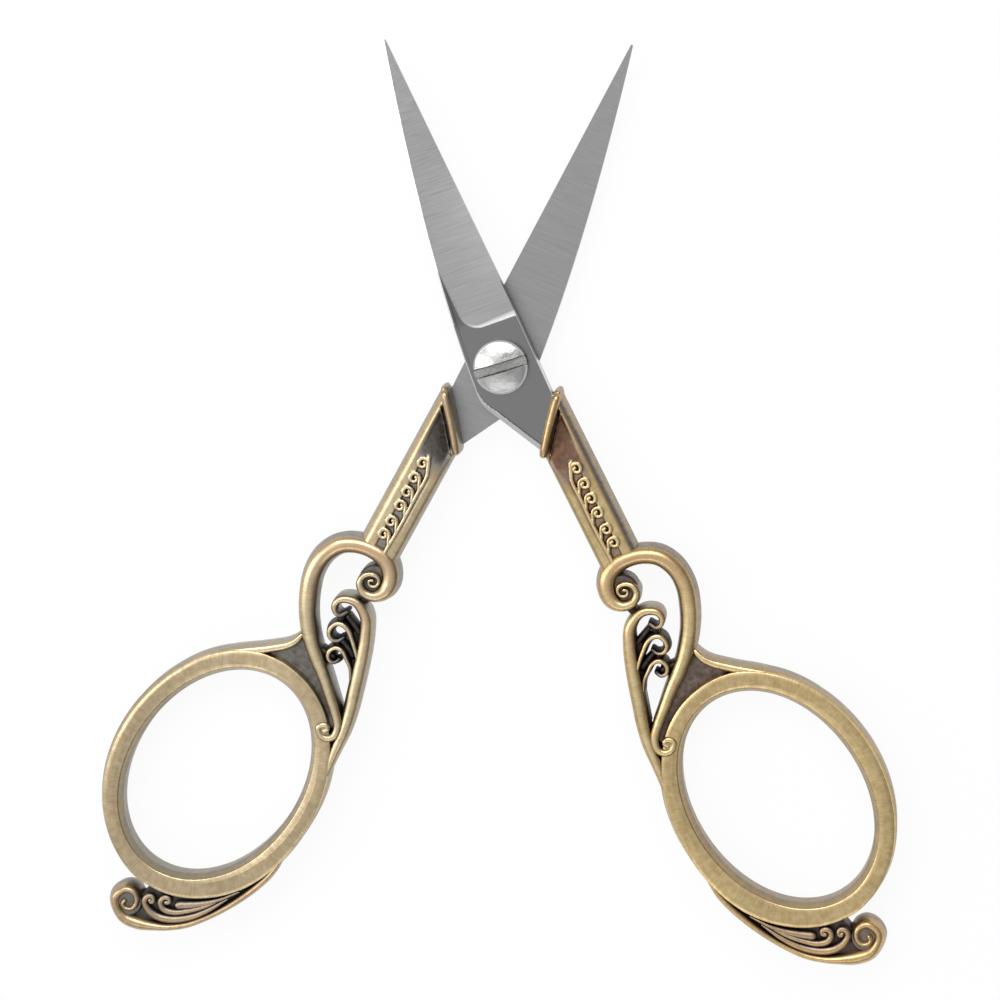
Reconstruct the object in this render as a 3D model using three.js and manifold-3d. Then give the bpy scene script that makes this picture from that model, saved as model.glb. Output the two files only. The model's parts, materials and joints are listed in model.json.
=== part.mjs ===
// Embroidery scissors: two ground blades in cast scroll handles, turning on one slotted screw.
// Millimetres, +Z up. The pivot axis is Z, the screw's flat end lies at z = 0 and +Y runs midway
// between the tips. One half is drawn closed in its own plane: u across towards its handle's side,
// v towards the tip, w up from the plane between the blades. The front half is that half swung open,
// and the rear half is the same half turned over about v.
import * as THREE from 'three';
import { mergeVertices } from 'three/addons/utils/BufferGeometryUtils.js';
import Module from 'manifold-3d';

const wasm = await Module();
wasm.setup();

// Swing of each half from closed, in degrees
const HALF_ANGLE = 20.95;

// Blade
const BLADE_LENGTH = 37.8;
const BLADE_THICK = 1.6;
const BLADE_GAP = 0.2;
const TIP_WIDTH = 0.24;
const HEEL_WIDTH = 3.5;
const HEEL_HEIGHT = 5.0;
const EDGE_FLARE = 4.5;
const SPINE_WIDTH = 3.6;
const SPINE_STRAIGHT = 2.0;
const SPINE_BOW_WIDTH = 3.3;
const SPINE_BOW_HEIGHT = 17.5;
const SPINE_CORNER = 1.2;
const EDGE_LAND = 0.35;
const GRIND_FULL_HEIGHT = 14.0;
const GRIND_CORNER = 1.6;

// Tang of the blade, and its clearance in the handle's socket
const TANG_WIDTH = 2.4;
const TANG_THICK = 1.0;
const TANG_LENGTH = 9.0;
const TANG_ROOT = 3.0;
const FIT_GAP = 0.3;

// Screw
const SCREW_DIAMETER = 3.4;
const HEAD_DIAMETER = 6.0;
const HEAD_RIM = 0.5;
const HEAD_DOME = 0.9;
const SLOT_WIDTH = 0.95;
const SLOT_DEPTH = 0.7;
const SLOT_ANGLE = 20.0;
const RUN_GAP = 0.08;

// Collar across the top of the shank: its lean, distance from the pivot and slide along its own line
const COLLAR_LEAN = 33.0;
const COLLAR_DISTANCE = 6.74;
const COLLAR_SLIDE = 5.16;
const COLLAR_SPAN = 6.58;
const COLLAR_WIDTH = 1.04;
const COLLAR_THICK = 4.9;
const COLLAR_ROUND = 0.35;
const SWING_CLEAR = 1.35;

// Shank
const SHANK_LEAN = 6.6;
const SHANK_SHIFT = 0.32;
const SHANK_LENGTH = 16.8;
const SHANK_WIDTH = 4.4;
const SHANK_THICK = 4.2;
const SHANK_BEVEL_WIDTH = 0.9;
const SHANK_BEVEL_DROP = 0.6;

// Finger ring: an ellipse whose long axis leans, joined to the neck at one point of its rim
const HOLE_LONG = 26.1;
const HOLE_SHORT = 19.8;
const RIM_WIDTH = 2.3;
const RING_THICK = 4.0;
const RING_LEAN = 13.8;
const RING_JOIN_ANGLE = 38.0;
const RING_JOIN = [-1.73, -21.98];
const RING_EDGE = 0.2;
const RING_BEVEL_WIDTH = 0.75;
const RING_BEVEL_DROP = 1.1;

// Thicknesses of the scrollwork
const NECK_THICK = 4.5;
const STEM_THICK = 4.2;
const CURL_THICK = 3.8;
const BRIDGE_THICK = 2.6;
const BRIDGE_WIDTH = 1.2;
const WEB_THICK = 2.2;
const LIP_THICK = 4.0;
const LEAF_THICK = 3.2;
const LEAF_EDGE = 0.4;
const LEAF_RIDGE_THICK = 4.2;

// Scroll paths as [u, v, half width] rows, from the foot of the shank
const CURL_ON_RING = [
  [-1.99, -21.59, 0.3], [-2.29, -21.14, 0.3], [-1.69, -20.84, 0.3], [-1.19, -21.39, 0.33],
  [-1.69, -22.24, 0.36], [-2.59, -22.34, 0.4], [-3.29, -21.69, 0.45],
];
const NECK_RUN = [
  [-3.24, -20.49, 0.5], [-2.29, -18.99, 0.58], [-0.99, -17.39, 0.65], [0.41, -15.69, 0.75],
  [1.71, -14.29, 0.82], [3.11, -12.59, 0.92], [4.31, -10.59, 1.0], [5.31, -8.09, 1.05],
  [5.84, -5.25, 1.06], [5.46, -2.95, 1.05], [4.26, -1.2, 1.0], [2.61, -0.38, 0.95],
  [0.81, -0.2, 0.95], [-0.99, -0.5, 0.95], [-2.39, -1.35, 0.9],
];
const NECK_VOLUTE = [
  [-3.04, -2.69, 0.82], [-2.79, -4.09, 0.66], [-1.79, -4.84, 0.52], [-0.59, -4.89, 0.46],
  [0.26, -4.24, 0.42], [0.31, -3.34, 0.38], [-0.29, -2.74, 0.33], [-0.99, -2.84, 0.28],
  [-1.39, -3.39, 0.26], [-1.09, -3.84, 0.25],
];
const STEM_RUN = [
  [-4.19, -23.39, 0.62], [-4.24, -20.89, 0.58], [-4.04, -18.39, 0.65], [-3.79, -16.39, 0.72],
  [-3.44, -13.89, 0.74], [-2.99, -11.59, 0.72], [-2.44, -9.59, 0.7], [-1.79, -7.99, 0.68],
  [-0.89, -6.89, 0.66], [0.41, -6.54, 0.62], [1.61, -7.09, 0.58], [1.81, -7.99, 0.5],
  [1.21, -8.49, 0.42], [0.66, -8.09, 0.35],
];
const UPPER_CURL = [
  [-2.59, -12.59, 0.45], [-1.89, -11.29, 0.45], [-0.89, -10.09, 0.45], [0.31, -9.69, 0.45],
  [1.16, -10.29, 0.45], [1.01, -11.19, 0.4], [0.21, -11.29, 0.35], [0.01, -10.69, 0.3],
];
const LOWER_CURL = [
  [-2.89, -17.99, 0.45], [-2.44, -16.19, 0.4], [-2.14, -14.29, 0.38], [-1.49, -12.79, 0.38],
  [-0.49, -12.39, 0.4], [0.36, -12.89, 0.4], [0.26, -13.69, 0.38], [-0.39, -13.69, 0.38],
];
const VOLUTE_EYE = [-1.05, -3.6];
const VOLUTE_EYE_DIAMETER = 2.6;

// Short bars that tie neighbouring curls together, as pairs of points from the foot of the shank
const BRIDGES = [
  [[-1.29, -4.59], [-0.89, -6.79]],
  [[1.31, -8.39], [1.11, -9.99]],
  [[0.71, -11.39], [0.11, -12.49]],
  [[0.81, -11.59], [2.51, -12.99]],
];

// Sunken webs: their corners from the foot of the shank, and the angles of those on the ring
const WEB_NECK_SIDE = [[4.21, -11.79], [2.31, -13.89], [-0.19, -16.69], [-2.39, -19.39], [-2.59, -20.89]];
const WEB_RING_ANGLES = [33, 20, 6, -8, -22, -36];
const WEB_OUTER_EDGE = [[-36, -0.2], [-27, 0.3], [-18.3, 1.0], [-11.5, 1.85], [-8.6, 2.5]];
const WEB_TOP = [4.8, -12.35];
const FILL_LOW = [[-2.29, -16.99], [-2.99, -15.39], [-3.69, -18.39], [-3.69, -21.39], [-2.99, -20.39]];
const FILL_HIGH = [[-0.79, -8.99], [-1.99, -8.79], [-2.59, -12.29], [-1.89, -11.19]];
const LIP_ON_RING = [[-36, -0.85, 0.4], [-24, -0.2, 0.48], [-14.2, 0.92, 0.45], [-7.8, 2.05, 0.42]];
const LIP_TOP = [4.3, -12.2, 0.4];

// Where the stem runs into the ring
const STEM_RING_ANGLE = 62;
const STEM_RING_HALF_WIDTH = 0.7;

// Tail leaf round the foot of the ring, as [ring angle, offset beyond the rim] rows
const LEAF_OUTER = [
  [100, -0.4], [109.9, 0.6], [117.9, 1.1], [127.2, 1.65], [137.4, 2.35], [146.4, 3.0], [154.8, 3.85],
  [162.3, 4.85], [168.9, 5.85], [173.2, 6.35], [177.7, 6.25], [181.8, 5.65], [184.7, 4.75], [186.6, 3.7],
  [186.8, 2.7], [185.2, 1.95], [181.9, 1.55], [178.2, 1.6], [175.4, 1.9],
];
const LEAF_ROOT_ANGLES = [174.8, 160, 145, 130, 115];
const LEAF_ROOT_DEPTH = 0.6;
const LEAF_RIM_RIDGE = [
  [123.7, 1.0, 0.35], [134.7, 1.7, 0.48], [145, 2.4, 0.55], [157.6, 3.6, 0.65], [168.4, 4.95, 0.78],
  [176.3, 5.3, 0.85], [181.5, 4.6, 0.78], [183.8, 3.4, 0.66], [182.5, 2.4, 0.52], [178.7, 2.1, 0.42],
  [175.5, 2.6, 0.33], [175.6, 3.5, 0.28], [178, 3.95, 0.25], [179.8, 3.5, 0.22],
];
const LEAF_MID_RIDGE = [
  [136.7, 1.38, 0.2], [149.4, 2.55, 0.3], [159.3, 3.1, 0.35], [166.7, 3.17, 0.35], [171.3, 2.69, 0.3],
  [172.6, 1.91, 0.27], [170.9, 1.35, 0.24], [168.6, 1.6, 0.2],
];
const LEAF_INNER_RIDGE = [
  [138.3, 1.01, 0.18], [150.4, 1.71, 0.28], [157.8, 2.28, 0.32], [162.8, 2.25, 0.3], [165.3, 1.55, 0.27],
  [163.6, 0.95, 0.24], [161.2, 1.15, 0.2],
];

// Facets
const ROD_SIDES = 8;
const ROD_SQUARENESS = 0.65;
const STEPS_PER_ROW = 2;
const RING_STEPS = 56;
const SCREW_SIDES = 36;
const CURVE_STEPS = 6;
const CUT_MARGIN = 4;

// Materials
const STEEL = new THREE.MeshStandardMaterial({ color: 0x8c8c8c, roughness: 0.38, metalness: 1 });
const NICKEL = new THREE.MeshStandardMaterial({ color: 0xd4d4d2, roughness: 0.18, metalness: 1 });
const BRASS = new THREE.MeshStandardMaterial({ color: 0xa08858, roughness: 0.42, metalness: 1 });

const radians = THREE.MathUtils.degToRad;

// Heights from the plane between the blades
const INNER_FACE = BLADE_GAP / 2;
const OUTER_FACE = INNER_FACE + BLADE_THICK;
const MIDDLE_HEIGHT = OUTER_FACE;

// Lines of the collar and the shank. Across points from the collar towards the pivot.
const collarAlong = new THREE.Vector2(-Math.sin(radians(COLLAR_LEAN)), -Math.cos(radians(COLLAR_LEAN)));
const collarAcross = new THREE.Vector2(-Math.cos(radians(COLLAR_LEAN)), Math.sin(radians(COLLAR_LEAN)));
const collarMiddle = collarAcross.clone().multiplyScalar(-COLLAR_DISTANCE)
  .addScaledVector(collarAlong, COLLAR_SLIDE);
const shankDown = new THREE.Vector2(Math.sin(radians(SHANK_LEAN)), -Math.cos(radians(SHANK_LEAN)));
const shankSide = new THREE.Vector2(Math.cos(radians(SHANK_LEAN)), Math.sin(radians(SHANK_LEAN)));
const shankTop = collarMiddle.clone().addScaledVector(shankSide, SHANK_SHIFT);
const foot = shankTop.clone().addScaledVector(shankDown, SHANK_LENGTH);

// Axes of the ring, and its centre from the point where its rim's middle line meets the neck
const ringLong = new THREE.Vector2(-Math.sin(radians(RING_LEAN)), Math.cos(radians(RING_LEAN)));
const ringShort = new THREE.Vector2(-Math.cos(radians(RING_LEAN)), -Math.sin(radians(RING_LEAN)));
const ringCentre = fromFoot(RING_JOIN).sub(ringSpoke(RING_JOIN_ANGLE, -RIM_WIDTH / 2));

// A point given from the foot of the shank
function fromFoot([u, v]) {
  return new THREE.Vector2(foot.x + u, foot.y + v);
}

// From the ring's centre to an ellipse that lies an offset beyond the rim, at an angle from its top
function ringSpoke(angle, offset) {
  const grow = RIM_WIDTH + offset;
  const spoke = ringLong.clone().multiplyScalar((HOLE_LONG / 2 + grow) * Math.cos(radians(angle)));
  return spoke.addScaledVector(ringShort, (HOLE_SHORT / 2 + grow) * Math.sin(radians(angle)));
}

function onRing([angle, offset]) {
  return ringSpoke(angle, offset).add(ringCentre);
}

// Rows of [a, b, half width] as points with the half width in z
function pathRows(rows, place) {
  return rows.map(([a, b, half]) => {
    const at = place([a, b]);
    return new THREE.Vector3(at.x, at.y, half);
  });
}

// Where the two lines p.across = reach meet
function meet(acrossA, reachA, acrossB, reachB) {
  const cross = acrossA.x * acrossB.y - acrossA.y * acrossB.x;
  const u = (reachA * acrossB.y - reachB * acrossA.y) / cross;
  const v = (acrossA.x * reachB - acrossB.x * reachA) / cross;
  return new THREE.Vector2(u, v);
}

// A closed geometry as a solid that can be joined and cut
function solidOf(geometry) {
  const bare = new THREE.BufferGeometry();
  bare.setAttribute('position', geometry.getAttribute('position').clone());
  if (geometry.index) bare.setIndex(geometry.index.clone());
  const merged = mergeVertices(bare, 1e-5);
  const corners = [];
  for (let i = 0; i < merged.index.count; i += 3) {
    const [a, b, c] = [0, 1, 2].map((k) => merged.index.getX(i + k));
    if (a !== b && b !== c && c !== a) corners.push(a, b, c);
  }
  const vertProperties = new Float32Array(merged.getAttribute('position').array);
  return new wasm.Manifold(new wasm.Mesh({ numProp: 3, vertProperties, triVerts: new Uint32Array(corners) }));
}

function geometryOf(solid) {
  const { vertProperties, triVerts } = solid.getMesh();
  const geometry = new THREE.BufferGeometry();
  geometry.setAttribute('position', new THREE.BufferAttribute(vertProperties, 3));
  geometry.setIndex(new THREE.BufferAttribute(triVerts, 1));
  geometry.computeVertexNormals();
  return geometry;
}

function named(name, solid, material) {
  const mesh = new THREE.Mesh(geometryOf(solid), material);
  mesh.name = name;
  return mesh;
}

// A flat outline given its thickness, from one height to another
function slab(outline, low, high) {
  const options = { depth: high - low, bevelEnabled: false, curveSegments: CURVE_STEPS };
  return solidOf(new THREE.ExtrudeGeometry(outline, options).translate(0, 0, low));
}

// A flat outline made thick evenly about the middle plane, its edges bevelled inwards
function bevelledSlab(outline, thick, bevelWidth, bevelDrop, segments = 1) {
  const options = {
    depth: thick - 2 * bevelDrop, curveSegments: CURVE_STEPS, bevelSegments: segments,
    bevelSize: bevelWidth, bevelOffset: -bevelWidth, bevelThickness: bevelDrop,
  };
  return solidOf(new THREE.ExtrudeGeometry(outline, options).translate(0, 0, bevelDrop - thick / 2));
}

// A rod along rows of (u, v, half width): a rounded section of even thickness
function rod(rows, thick) {
  const curve = new THREE.CatmullRomCurve3(rows, false, 'centripetal');
  const steps = (rows.length - 1) * STEPS_PER_ROW;
  const rounded = (x) => Math.sign(x) * Math.abs(x) ** ROD_SQUARENESS;
  const points = [];
  for (let i = 0; i <= steps; i += 1) {
    const at = curve.getPoint(i / steps);
    const ahead = curve.getTangent(i / steps);
    const side = new THREE.Vector2(ahead.y, -ahead.x).normalize();
    for (let k = 0; k < ROD_SIDES; k += 1) {
      const turn = (2 * Math.PI * (k + 0.5)) / ROD_SIDES;
      const across = at.z * rounded(Math.cos(turn));
      points.push(at.x + side.x * across, at.y + side.y * across, (thick / 2) * rounded(Math.sin(turn)));
    }
  }
  const faces = [];
  for (let i = 0; i < steps; i += 1) {
    for (let k = 0; k < ROD_SIDES; k += 1) {
      const a = i * ROD_SIDES + k;
      const b = i * ROD_SIDES + ((k + 1) % ROD_SIDES);
      faces.push(a, a + ROD_SIDES, b, b, a + ROD_SIDES, b + ROD_SIDES);
    }
  }
  const last = steps * ROD_SIDES;
  for (let k = 1; k < ROD_SIDES - 1; k += 1) {
    faces.push(0, k, k + 1, last, last + k + 1, last + k);
  }
  const geometry = new THREE.BufferGeometry();
  geometry.setAttribute('position', new THREE.Float32BufferAttribute(points, 3));
  geometry.setIndex(faces);
  return solidOf(geometry);
}

// Finger ring: flat faces, small inner edges and a wide outer bevel, carried round the ellipse
function fingerRing() {
  const half = RING_THICK / 2;
  const profile = [
    [-RIM_WIDTH, RING_EDGE - half], [-RIM_WIDTH, half - RING_EDGE], [RING_EDGE - RIM_WIDTH, half],
    [-RING_BEVEL_WIDTH, half], [0, half - RING_BEVEL_DROP], [0, RING_BEVEL_DROP - half],
    [-RING_BEVEL_WIDTH, -half], [RING_EDGE - RIM_WIDTH, -half],
  ];
  const count = profile.length;
  const points = [];
  const faces = [];
  for (let i = 0; i < RING_STEPS; i += 1) {
    for (const [offset, height] of profile) {
      const at = onRing([(360 * i) / RING_STEPS, offset]);
      points.push(at.x, at.y, height);
    }
    for (let k = 0; k < count; k += 1) {
      const next = (k + 1) % count;
      const here = i * count;
      const there = ((i + 1) % RING_STEPS) * count;
      faces.push(here + k, here + next, there + k, here + next, there + next, there + k);
    }
  }
  const geometry = new THREE.BufferGeometry();
  geometry.setAttribute('position', new THREE.Float32BufferAttribute(points, 3));
  geometry.setIndex(faces);
  return solidOf(geometry);
}

// Collar: a half-round lip with round ends across the shank
function collar() {
  const radius = COLLAR_WIDTH / 2;
  const start = collarMiddle.clone().addScaledVector(collarAlong, -COLLAR_SPAN / 2);
  const end = collarMiddle.clone().addScaledVector(collarAlong, COLLAR_SPAN / 2);
  const heading = collarAlong.angle();
  const outline = new THREE.Shape();
  outline.absarc(start.x, start.y, radius, heading + Math.PI / 2, heading + 1.5 * Math.PI);
  outline.absarc(end.x, end.y, radius, heading - Math.PI / 2, heading + Math.PI / 2);
  return bevelledSlab(outline, COLLAR_THICK, COLLAR_ROUND, COLLAR_ROUND, 2);
}

// A point beside the shank's axis, at a distance down from its top
function onShank(side, down) {
  return shankTop.clone().addScaledVector(shankSide, side).addScaledVector(shankDown, down);
}

// An upright bar along the shank's axis
function shankBar(half, top, bottom) {
  return new THREE.Shape([onShank(-half, top), onShank(-half, bottom), onShank(half, bottom), onShank(half, top)]);
}

// Shank: a bevelled bar cut off along the collar's line, its foot sunk in the neck
function shank() {
  const spare = 2 * SHANK_WIDTH;
  const bar = shankBar(SHANK_WIDTH / 2, -spare, SHANK_LENGTH + SHANK_BEVEL_WIDTH);
  const square = [[-2, 0], [2, 0], [2, 4], [-2, 4]];
  const pastCollar = square.map(([along, across]) => (
    collarMiddle.clone().addScaledVector(collarAlong, along * spare).addScaledVector(collarAcross, across * spare)
  ));
  return bevelledSlab(bar, SHANK_THICK, SHANK_BEVEL_WIDTH, SHANK_BEVEL_DROP)
    .subtract(slab(new THREE.Shape(pastCollar), -SHANK_THICK, SHANK_THICK));
}

// The blade's tang, from above the collar down into the shank, or its socket when grown by the clearance
function tangBar(grow, low, high) {
  return slab(shankBar(TANG_WIDTH / 2 + grow, -TANG_ROOT, TANG_LENGTH + grow), low - grow, high + grow);
}

function flatWeb(corners) {
  return slab(new THREE.Shape(corners), -WEB_THICK / 2, WEB_THICK / 2);
}

// Neck: the rod that rises from its curl on the ring, bends over the shank and winds into a volute
function neck() {
  const rows = pathRows([...CURL_ON_RING, ...NECK_RUN, ...NECK_VOLUTE], fromFoot);
  const eye = new THREE.CylinderGeometry(VOLUTE_EYE_DIAMETER / 2, VOLUTE_EYE_DIAMETER / 2, BRIDGE_THICK, 24);
  const at = fromFoot(VOLUTE_EYE);
  return rod(rows, NECK_THICK).add(solidOf(eye.rotateX(Math.PI / 2).translate(at.x, at.y, 0)));
}

// Stem with its volute, the two curls that leave it, and the bars that tie them
function stem() {
  const onRim = onRing([STEM_RING_ANGLE, -RIM_WIDTH / 2]);
  const start = new THREE.Vector3(onRim.x, onRim.y, STEM_RING_HALF_WIDTH);
  let solid = rod([start, ...pathRows(STEM_RUN, fromFoot)], STEM_THICK);
  for (const curl of [UPPER_CURL, LOWER_CURL]) {
    solid = solid.add(rod(pathRows(curl, fromFoot), CURL_THICK));
  }
  for (const ends of BRIDGES) {
    const rows = ends.map((end) => [...end, BRIDGE_WIDTH / 2]);
    solid = solid.add(rod(pathRows(rows, fromFoot), BRIDGE_THICK));
  }
  return solid.add(flatWeb(FILL_LOW.map(fromFoot))).add(flatWeb(FILL_HIGH.map(fromFoot)));
}

// Web between the neck and the ring, with its raised outer lip
function web() {
  const onRim = WEB_RING_ANGLES.map((angle) => onRing([angle, -RIM_WIDTH / 2]));
  const outer = WEB_OUTER_EDGE.map(onRing);
  const plate = flatWeb([...WEB_NECK_SIDE.map(fromFoot), ...onRim, ...outer, fromFoot(WEB_TOP)]);
  return plate.add(rod([...pathRows(LIP_ON_RING, onRing), ...pathRows([LIP_TOP], fromFoot)], LIP_THICK));
}

// Tail leaf that leaves the ring and ends in three scrolls
function tailLeaf() {
  const outer = LEAF_OUTER.map(onRing);
  const root = LEAF_ROOT_ANGLES.map((angle) => onRing([angle, -LEAF_ROOT_DEPTH]));
  let solid = bevelledSlab(new THREE.Shape([...outer, ...root]), LEAF_THICK, LEAF_EDGE, LEAF_EDGE);
  for (const ridge of [LEAF_RIM_RIDGE, LEAF_MID_RIDGE, LEAF_INNER_RIDGE]) {
    solid = solid.add(rod(pathRows(ridge, onRing), LEAF_RIDGE_THICK));
  }
  return solid;
}

// Handle: one casting, with the socket for the blade's tang
function handle() {
  const casting = [shank(), neck(), stem(), web(), fingerRing(), tailLeaf()]
    .reduce((solid, piece) => solid.add(piece), collar());
  return casting.subtract(tangBar(FIT_GAP, INNER_FACE, INNER_FACE + TANG_THICK));
}

// Flat shape of the blade: cutting edge on the left, end along the collar, oblique edge that clears
// the other half's collar, and a bowed spine
function bladeOutline() {
  const flare = radians(EDGE_FLARE);
  const edgeSide = new THREE.Vector2(Math.cos(flare), Math.sin(flare));
  const heel = new THREE.Vector2(HEEL_WIDTH, HEEL_HEIGHT);
  const otherAcross = new THREE.Vector2(-collarAcross.x, collarAcross.y);
  const endReach = COLLAR_WIDTH / 2 + FIT_GAP - COLLAR_DISTANCE;
  const clearReach = COLLAR_WIDTH / 2 + SWING_CLEAR - COLLAR_DISTANCE;
  const spineSide = new THREE.Vector2(1, 0);
  const endAtEdge = meet(edgeSide, heel.dot(edgeSide), collarAcross, endReach);
  const endAtOblique = meet(otherAcross, clearReach, collarAcross, endReach);
  const corner = meet(spineSide, -SPINE_WIDTH, otherAcross, clearReach);
  const cornerIn = endAtOblique.clone().sub(corner).setLength(SPINE_CORNER).add(corner);
  const outline = new THREE.Shape();
  outline.moveTo(TIP_WIDTH / 2, BLADE_LENGTH);
  outline.lineTo(heel.x, heel.y);
  outline.lineTo(endAtEdge.x, endAtEdge.y);
  outline.lineTo(endAtOblique.x, endAtOblique.y);
  outline.lineTo(cornerIn.x, cornerIn.y);
  outline.quadraticCurveTo(corner.x, corner.y, corner.x, corner.y + SPINE_CORNER);
  outline.lineTo(-SPINE_WIDTH, SPINE_STRAIGHT);
  outline.quadraticCurveTo(-SPINE_BOW_WIDTH, SPINE_BOW_HEIGHT, -TIP_WIDTH / 2, BLADE_LENGTH);
  return outline;
}

// What the wheel takes off the outer face: all above a plane through the cutting edge's land, which
// reaches the spine's full thickness part way up and stops at a step with one round corner
function grindCut() {
  const heel = new THREE.Vector3(HEEL_WIDTH, HEEL_HEIGHT, INNER_FACE + EDGE_LAND);
  const tip = new THREE.Vector3(TIP_WIDTH / 2, BLADE_LENGTH, INNER_FACE + EDGE_LAND);
  const spine = new THREE.Vector3(-SPINE_BOW_WIDTH, GRIND_FULL_HEIGHT, OUTER_FACE);
  const alongEdge = tip.clone().sub(heel).normalize();
  const up = alongEdge.clone().cross(spine.clone().sub(heel)).normalize();
  const across = alongEdge.clone().cross(up);
  const spineAt = spine.clone().sub(heel).dot(across);
  const length = tip.clone().sub(heel).length();
  const outline = new THREE.Shape();
  outline.moveTo(CUT_MARGIN, 0);
  outline.lineTo(CUT_MARGIN, length + CUT_MARGIN);
  outline.lineTo(spineAt - CUT_MARGIN, length + CUT_MARGIN);
  outline.lineTo(spineAt - CUT_MARGIN, GRIND_FULL_HEIGHT - HEEL_HEIGHT);
  outline.lineTo(spineAt, GRIND_CORNER);
  outline.quadraticCurveTo(spineAt, 0, spineAt + GRIND_CORNER, 0);
  const options = { depth: CUT_MARGIN, bevelEnabled: false, curveSegments: CURVE_STEPS };
  const cutter = new THREE.ExtrudeGeometry(outline, options);
  const place = new THREE.Matrix4().makeBasis(across, alongEdge, up).setPosition(heel);
  return solidOf(cutter.applyMatrix4(place));
}

function blade() {
  const holeRadius = SCREW_DIAMETER / 2 + RUN_GAP;
  const hole = new THREE.CylinderGeometry(holeRadius, holeRadius, CUT_MARGIN * BLADE_THICK, SCREW_SIDES);
  return slab(bladeOutline(), INNER_FACE, OUTER_FACE)
    .subtract(grindCut())
    .subtract(solidOf(hole.rotateX(Math.PI / 2)))
    .add(tangBar(0, INNER_FACE, INNER_FACE + TANG_THICK));
}

// Screw: a plain shank through both blades, and a domed head with a slot right across
function pivotScrew() {
  const headBase = MIDDLE_HEIGHT + OUTER_FACE + BLADE_GAP / 2;
  const rim = headBase + HEAD_RIM;
  const sphere = ((HEAD_DIAMETER / 2) ** 2 + HEAD_DOME ** 2) / (2 * HEAD_DOME);
  const spread = Math.asin(HEAD_DIAMETER / 2 / sphere);
  const profile = [
    new THREE.Vector2(0, 0), new THREE.Vector2(SCREW_DIAMETER / 2, 0),
    new THREE.Vector2(SCREW_DIAMETER / 2, headBase), new THREE.Vector2(HEAD_DIAMETER / 2, headBase),
  ];
  for (let i = 0; i <= CURVE_STEPS; i += 1) {
    const lean = spread * (1 - i / CURVE_STEPS);
    profile.push(new THREE.Vector2(sphere * Math.sin(lean), rim + HEAD_DOME - sphere * (1 - Math.cos(lean))));
  }
  const body = new THREE.LatheGeometry(profile, SCREW_SIDES).rotateX(Math.PI / 2);
  const slot = new THREE.BoxGeometry(HEAD_DIAMETER + CUT_MARGIN, SLOT_WIDTH, 2 * SLOT_DEPTH);
  slot.rotateZ(radians(SLOT_ANGLE)).translate(0, 0, rim + HEAD_DOME);
  return solidOf(body).subtract(solidOf(slot));
}

// One half: its blade and its handle, swung open and, for the rear one, turned over
function half(side, swing) {
  const group = new THREE.Group();
  group.position.z = MIDDLE_HEIGHT;
  group.rotation.copy(swing);
  group.add(named(`${side}_blade`, blade(), STEEL));
  group.add(named(`${side}_handle`, handle(), BRASS));
  return group;
}

const scissors = new THREE.Group();
scissors.add(half('front', new THREE.Euler(0, 0, radians(HALF_ANGLE))));
scissors.add(half('rear', new THREE.Euler(0, Math.PI, radians(HALF_ANGLE))));
scissors.add(named('pivot_screw', pivotScrew(), NICKEL));

export default scissors;
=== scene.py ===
# %% [markdown]
# # Embroidery scissors
# Small needlework scissors: two ground steel blades on a slotted screw, each set in a cast handle of antique
# brass with a vine on its shank, a scrolled neck, a finger ring and a tail leaf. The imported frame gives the
# bodies that move and the room that each piece may fill. Everything below draws finer surfaces in that room.

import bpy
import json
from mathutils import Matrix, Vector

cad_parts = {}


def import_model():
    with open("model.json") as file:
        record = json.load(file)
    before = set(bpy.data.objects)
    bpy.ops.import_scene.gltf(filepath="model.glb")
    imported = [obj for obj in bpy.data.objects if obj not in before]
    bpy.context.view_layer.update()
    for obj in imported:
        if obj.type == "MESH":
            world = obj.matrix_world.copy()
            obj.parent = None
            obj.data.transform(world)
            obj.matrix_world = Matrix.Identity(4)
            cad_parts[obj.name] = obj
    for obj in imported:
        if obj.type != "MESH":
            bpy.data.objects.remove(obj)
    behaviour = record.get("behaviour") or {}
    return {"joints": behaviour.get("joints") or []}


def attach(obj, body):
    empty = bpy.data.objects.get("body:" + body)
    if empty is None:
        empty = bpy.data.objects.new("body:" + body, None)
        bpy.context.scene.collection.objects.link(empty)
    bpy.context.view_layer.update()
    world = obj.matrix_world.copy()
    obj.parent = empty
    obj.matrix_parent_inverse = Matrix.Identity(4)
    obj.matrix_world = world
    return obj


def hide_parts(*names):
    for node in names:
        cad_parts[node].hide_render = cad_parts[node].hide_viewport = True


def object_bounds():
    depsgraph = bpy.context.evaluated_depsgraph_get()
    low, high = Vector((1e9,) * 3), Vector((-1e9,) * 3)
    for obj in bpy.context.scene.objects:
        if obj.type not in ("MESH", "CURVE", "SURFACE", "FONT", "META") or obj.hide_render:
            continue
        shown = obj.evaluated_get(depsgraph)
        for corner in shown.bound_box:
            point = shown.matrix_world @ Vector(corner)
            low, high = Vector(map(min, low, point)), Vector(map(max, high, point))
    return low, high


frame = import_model()
cad_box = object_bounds()

# %% Modules and the scene's view settings
import json

import bmesh
import bpy
import numpy as np
from mathutils import Matrix, Vector

scene = bpy.context.scene
scene.view_settings.view_transform = "Standard"
MM = 0.001
pivot_height = frame["joints"][0]["pos_m"][2] / MM
print(f"pivot plane {pivot_height:.2f} mm above the screw's end")

# %% [markdown]
# ## Camera
# The picture is taken from almost straight above, about 40 cm away, leaning a little from the tips and from
# the right. A camera could be aimed by eye. Here its two leans, its roll and its distance are stated
# instead, and the matrix that carries the scene into the picture is turned round to place the camera.

# %% Camera
LEAN_BACK = 10.54
LEAN_SIDE = -6.32
ROLL = -0.897
CAMERA_DISTANCE = 400.0
FIELD_WIDTH = 110.4
PIVOT_IN_PICTURE = (0.315, 15.01, 0.0)
SENSOR_WIDTH = 36.0


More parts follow.
